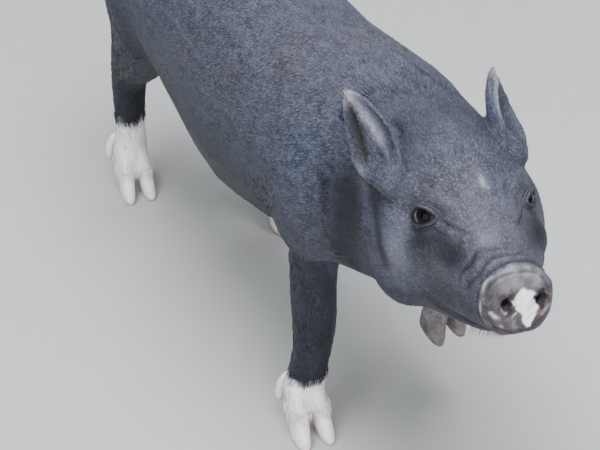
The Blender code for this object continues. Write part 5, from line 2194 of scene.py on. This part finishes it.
    def fringe(self, tufts: Tufts, foot: str, place: Region) -> None:
        """White hairs that hang from the foot over the tops of its hooves.

        Args:
            tufts: What they are added to.
            foot: Which foot.
            place: Its leg's region.
        """
        rows = np.nonzero(self.region == place)[0]
        gap = np.full(len(rows), 1.0)
        for side in SIDES:
            low, high = (np.array(corner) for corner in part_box(f"hoof_{foot}_{side}"))
            outside = np.maximum(np.maximum(low - self.points[rows], self.points[rows] - high), 0)
            gap = np.minimum(gap, np.linalg.norm(outside, axis=1))
        near = rows[(gap < 0.005) & (self.normals[rows][:, 2] > -0.6)]
        self.hang(tufts, near, self.fringe_hairs, 0.0008, (0.0, -0.45, -1.0), (1.5, 0.05, 0.1))

    def cuff(self, tufts: Tufts, place: Region) -> None:
        """Dark hairs that hang over the top of a white foot.

        Args:
            tufts: What they are added to.
            place: The leg's region.
        """
        white = self.markings.sock(self.points, self.region)
        above = self.markings.sock(self.points - np.array((0, 0, 0.0065)), self.region)
        near = np.nonzero((self.region == place) & (white < 0.25) & (above > 0.1))[0]
        self.hang(tufts, near, self.cuff_hairs, 0.0004, (0.0, 0.10, -1.0), (1.35, 0.02, 0.05))

    def hang(
        self, tufts: Tufts, near: np.ndarray, count: int, stray: float, ahead: tuple, style: tuple,
    ) -> None:
        """Hangs hairs from some of the skin's vertices.

        Args:
            tufts: What they are added to.
            near: The vertices' numbers.
            count: How many hairs.
            stray: How far their roots stray, in metres.
            ahead: The way they hang, before it is laid on the skin.
            style: grow's scale, raise_by and droop.
        """
        chosen = self.rng.choice(near, count)
        root = self.points[chosen] + stray * self.rng.normal(size=(count, 3))
        up, ahead = self.normals[chosen], np.array(ahead)
        self.grow(tufts, root, up, unit(ahead - up * (up @ ahead)[:, None]), self.region[chosen], *style)

    def on_face(
        self, tufts: Tufts, spots: np.ndarray, style: tuple, pull: np.ndarray | None = None,
    ) -> None:
        """Grows hairs from the head's vertices that are nearest to places.

        Args:
            tufts: What they are added to.
            spots: Places in the head's frame.
            style: grow's scale, raise_by and droop.
            pull: What turns them from the coat's lie, if anything does.
        """
        head = np.nonzero(self.region == Region.HEAD)[0]
        rows = [
            head[np.argmin(((self.points[head] - spot) ** 2).sum(1))] for spot in self.plan.axes.out_of(spots)
        ]
        way = self.flow[rows] if pull is None else unit(self.flow[rows] + pull)
        self.grow(tufts, self.points[rows], self.normals[rows], way, self.region[rows], *style)

    def bristles(self, tufts: Tufts) -> None:
        """Chin, lip and brow bristles and the lashes.

        Args:
            tufts: What they are added to.
        """
        draw = self.rng.uniform
        count = self.chin_bristles
        chin = np.stack([draw(-2.1, 2.1, count), draw(-6.9, -2.5, count), np.full(count, -6.4)], axis=1)
        pull = np.array((0, 0, -1.1)) + self.plan.axes.columns @ np.array((0, -0.35, 0))
        self.on_face(tufts, chin, (2.6, 0.35, 0.5), pull)
        count = self.lip_bristles
        across = self.rng.choice((-1, 1), count) * draw(1.6, 2.9, count)
        lip = np.stack([across, draw(-6.2, -2.8, count), draw(-4.2, -2.2, count)], axis=1)
        self.on_face(tufts, lip, (2.4, 0.45, 0.2))
        count = self.brow_bristles
        for side in (1, -1):
            self.lash_row(tufts, side)
            across = side * draw(1.7, 3.3, count)
            brow = np.stack([across, draw(-0.6, 0.9, count), draw(1.2, 2.0, count)], axis=1)
            self.on_face(tufts, brow, (2.0, 0.45, 0.0))

    def lash_row(self, tufts: Tufts, side: int) -> None:
        """The lashes along one upper lid.

        Args:
            tufts: What they are added to.
            side: 1 for the left eye, -1 for the right.
        """
        plan = self.plan
        eye = plan.eye(side)
        squint = plan.squint(side)
        t = np.linspace(-0.95, 0.95, self.lashes)
        height = (1 - np.abs(t) ** plan.slit_power) ** (1 / plan.slit_power)
        height = height * plan.slit_half_opening * 1.12
        arc = np.stack([t * plan.slit_half_length, np.full(len(t), 1.05), height], axis=1)
        arc *= (squint, 1, squint)
        arc *= ((plan.eye_radius + 0.15) / np.linalg.norm(arc, axis=1))[:, None]
        root = eye.out_of(arc)
        outward = eye.columns[:, 2] + plan.axes.columns @ np.array((side * 0.35, 0.25, 0.0))
        way = unit(outward + 0.1 * self.rng.normal(size=(len(t), 3)))
        regions = np.full(len(t), Region.HEAD)
        self.grow(tufts, root, unit(root - eye.origin), way, regions, 1.9, 0.7, 0.1)


@dataclass
class Studio:
    """The plain floor, the soft lights and the camera at the photograph's angle."""

    lens: float = 120.0
    camera_at: tuple = (-0.4754, -1.0485, 0.9174)
    azimuth: float = math.radians(24.3)
    elevation: float = math.radians(35.6)
    roll: float = math.radians(-1.8)
    lights: tuple = (
        ("overhead", (-0.15, -0.35, 2.1), 1.8, 140.0, (0.925, 0.96, 1.0)),
        ("front", (-0.45, -2.1, 0.75), 1.2, 31.0, (0.98, 0.99, 1.0)),
        ("side", (-1.6, -1.0, 0.9), 1.2, 17.0, (0.88, 0.94, 1.0)),
        ("back", (1.3, 1.2, 1.3), 1.0, 10.5, (0.90, 0.95, 1.0)),
    )
    middle: tuple = (0.0, -0.05, 0.15)
    sky: tuple = (0.86, 0.92, 1.0, 1.0)
    sky_strength: float = 0.185
    floor_size: float = 12.0

    def build(self) -> None:
        """Makes the floor, lights, surroundings and camera."""
        self.floor()
        for light in self.lights:
            self.light(*light)
        world = bpy.data.worlds.new("surroundings")
        world.use_nodes = True
        background = next(n for n in world.node_tree.nodes if n.type == "BACKGROUND")
        background.inputs["Color"].default_value = self.sky
        background.inputs["Strength"].default_value = self.sky_strength
        bpy.context.scene.world = world
        self.camera()

    def floor(self) -> None:
        """A wide pale floor."""
        bpy.ops.object.select_all(action="DESELECT")
        bpy.ops.mesh.primitive_plane_add(size=self.floor_size, location=(0, 0, 0))
        floor = bpy.context.object
        floor.name = "floor"
        graph = Graph("floor")
        speck = graph.noise(graph.place(), 40.0, 3.0)
        colour = graph.mixed(speck, (0.36, 0.36, 0.352), (0.395, 0.395, 0.386))
        floor.data.materials.append(graph.finish(Base_Color=colour, Roughness=0.7))

    def light(self, name: str, at: tuple, size: float, power: float, colour: tuple) -> None:
        """One large soft light, facing the middle of the body.

        Args:
            name: Its name.
            at: Where it hangs.
            size: Its side.
            power: Its watts.
            colour: Its colour.
        """
        lamp = bpy.data.lights.new(name, "AREA")
        lamp.size = size
        lamp.energy = power
        lamp.color = colour
        obj = bpy.data.objects.new(name, lamp)
        bpy.context.scene.collection.objects.link(obj)
        obj.location = at
        obj.rotation_euler = (Vector(self.middle) - Vector(at)).to_track_quat("-Z", "Y").to_euler()

    def camera(self) -> None:
        """The camera, where the photograph was taken from."""
        a, e = self.azimuth, self.elevation
        view = Vector((math.sin(a) * math.cos(e), math.cos(a) * math.cos(e), -math.sin(e)))
        right = Vector((math.cos(a), -math.sin(a), 0))
        up = right.cross(view)
        right, up = (
            right * math.cos(self.roll) + up * math.sin(self.roll),
            -right * math.sin(self.roll) + up * math.cos(self.roll),
        )
        lens = bpy.data.cameras.new("camera")
        lens.lens = self.lens
        lens.sensor_width = 36.0
        obj = bpy.data.objects.new("camera", lens)
        bpy.context.scene.collection.objects.link(obj)
        turn = Matrix((right, up, -view)).transposed()
        obj.matrix_world = Matrix.Translation(Vector(self.camera_at)) @ turn.to_4x4()
        bpy.context.scene.camera = obj


def main() -> None:
    """Builds the pig in order and logs each piece."""
    logging.basicConfig(level=logging.INFO, format="%(message)s")
    plan = HeadPlan()
    markings = Markings(plan)
    skin = Skin(plan)
    skin.build()
    SkinDressing(skin, markings, plan).dress()
    LOG.info("skin dressed")
    Coat(skin, markings, plan).build()
    for side, name, glance in ((1, "eye_left", 0.08), (-1, "eye_right", -0.30)):
        Eye(plan, side, name, glance=glance).build()
    LOG.info("eyes made")
    horn = Horn().material()
    for foot in FEET:
        for side in SIDES:
            Toe(f"hoof_{foot}_{side}", 0.0008, horn).build()
            Toe(f"dewclaw_{foot}_{side}", 0.0006, horn).build()
    LOG.info("toes made")
    Studio().build()
    LOG.info("size written")


if __name__ == "__main__":
    main()
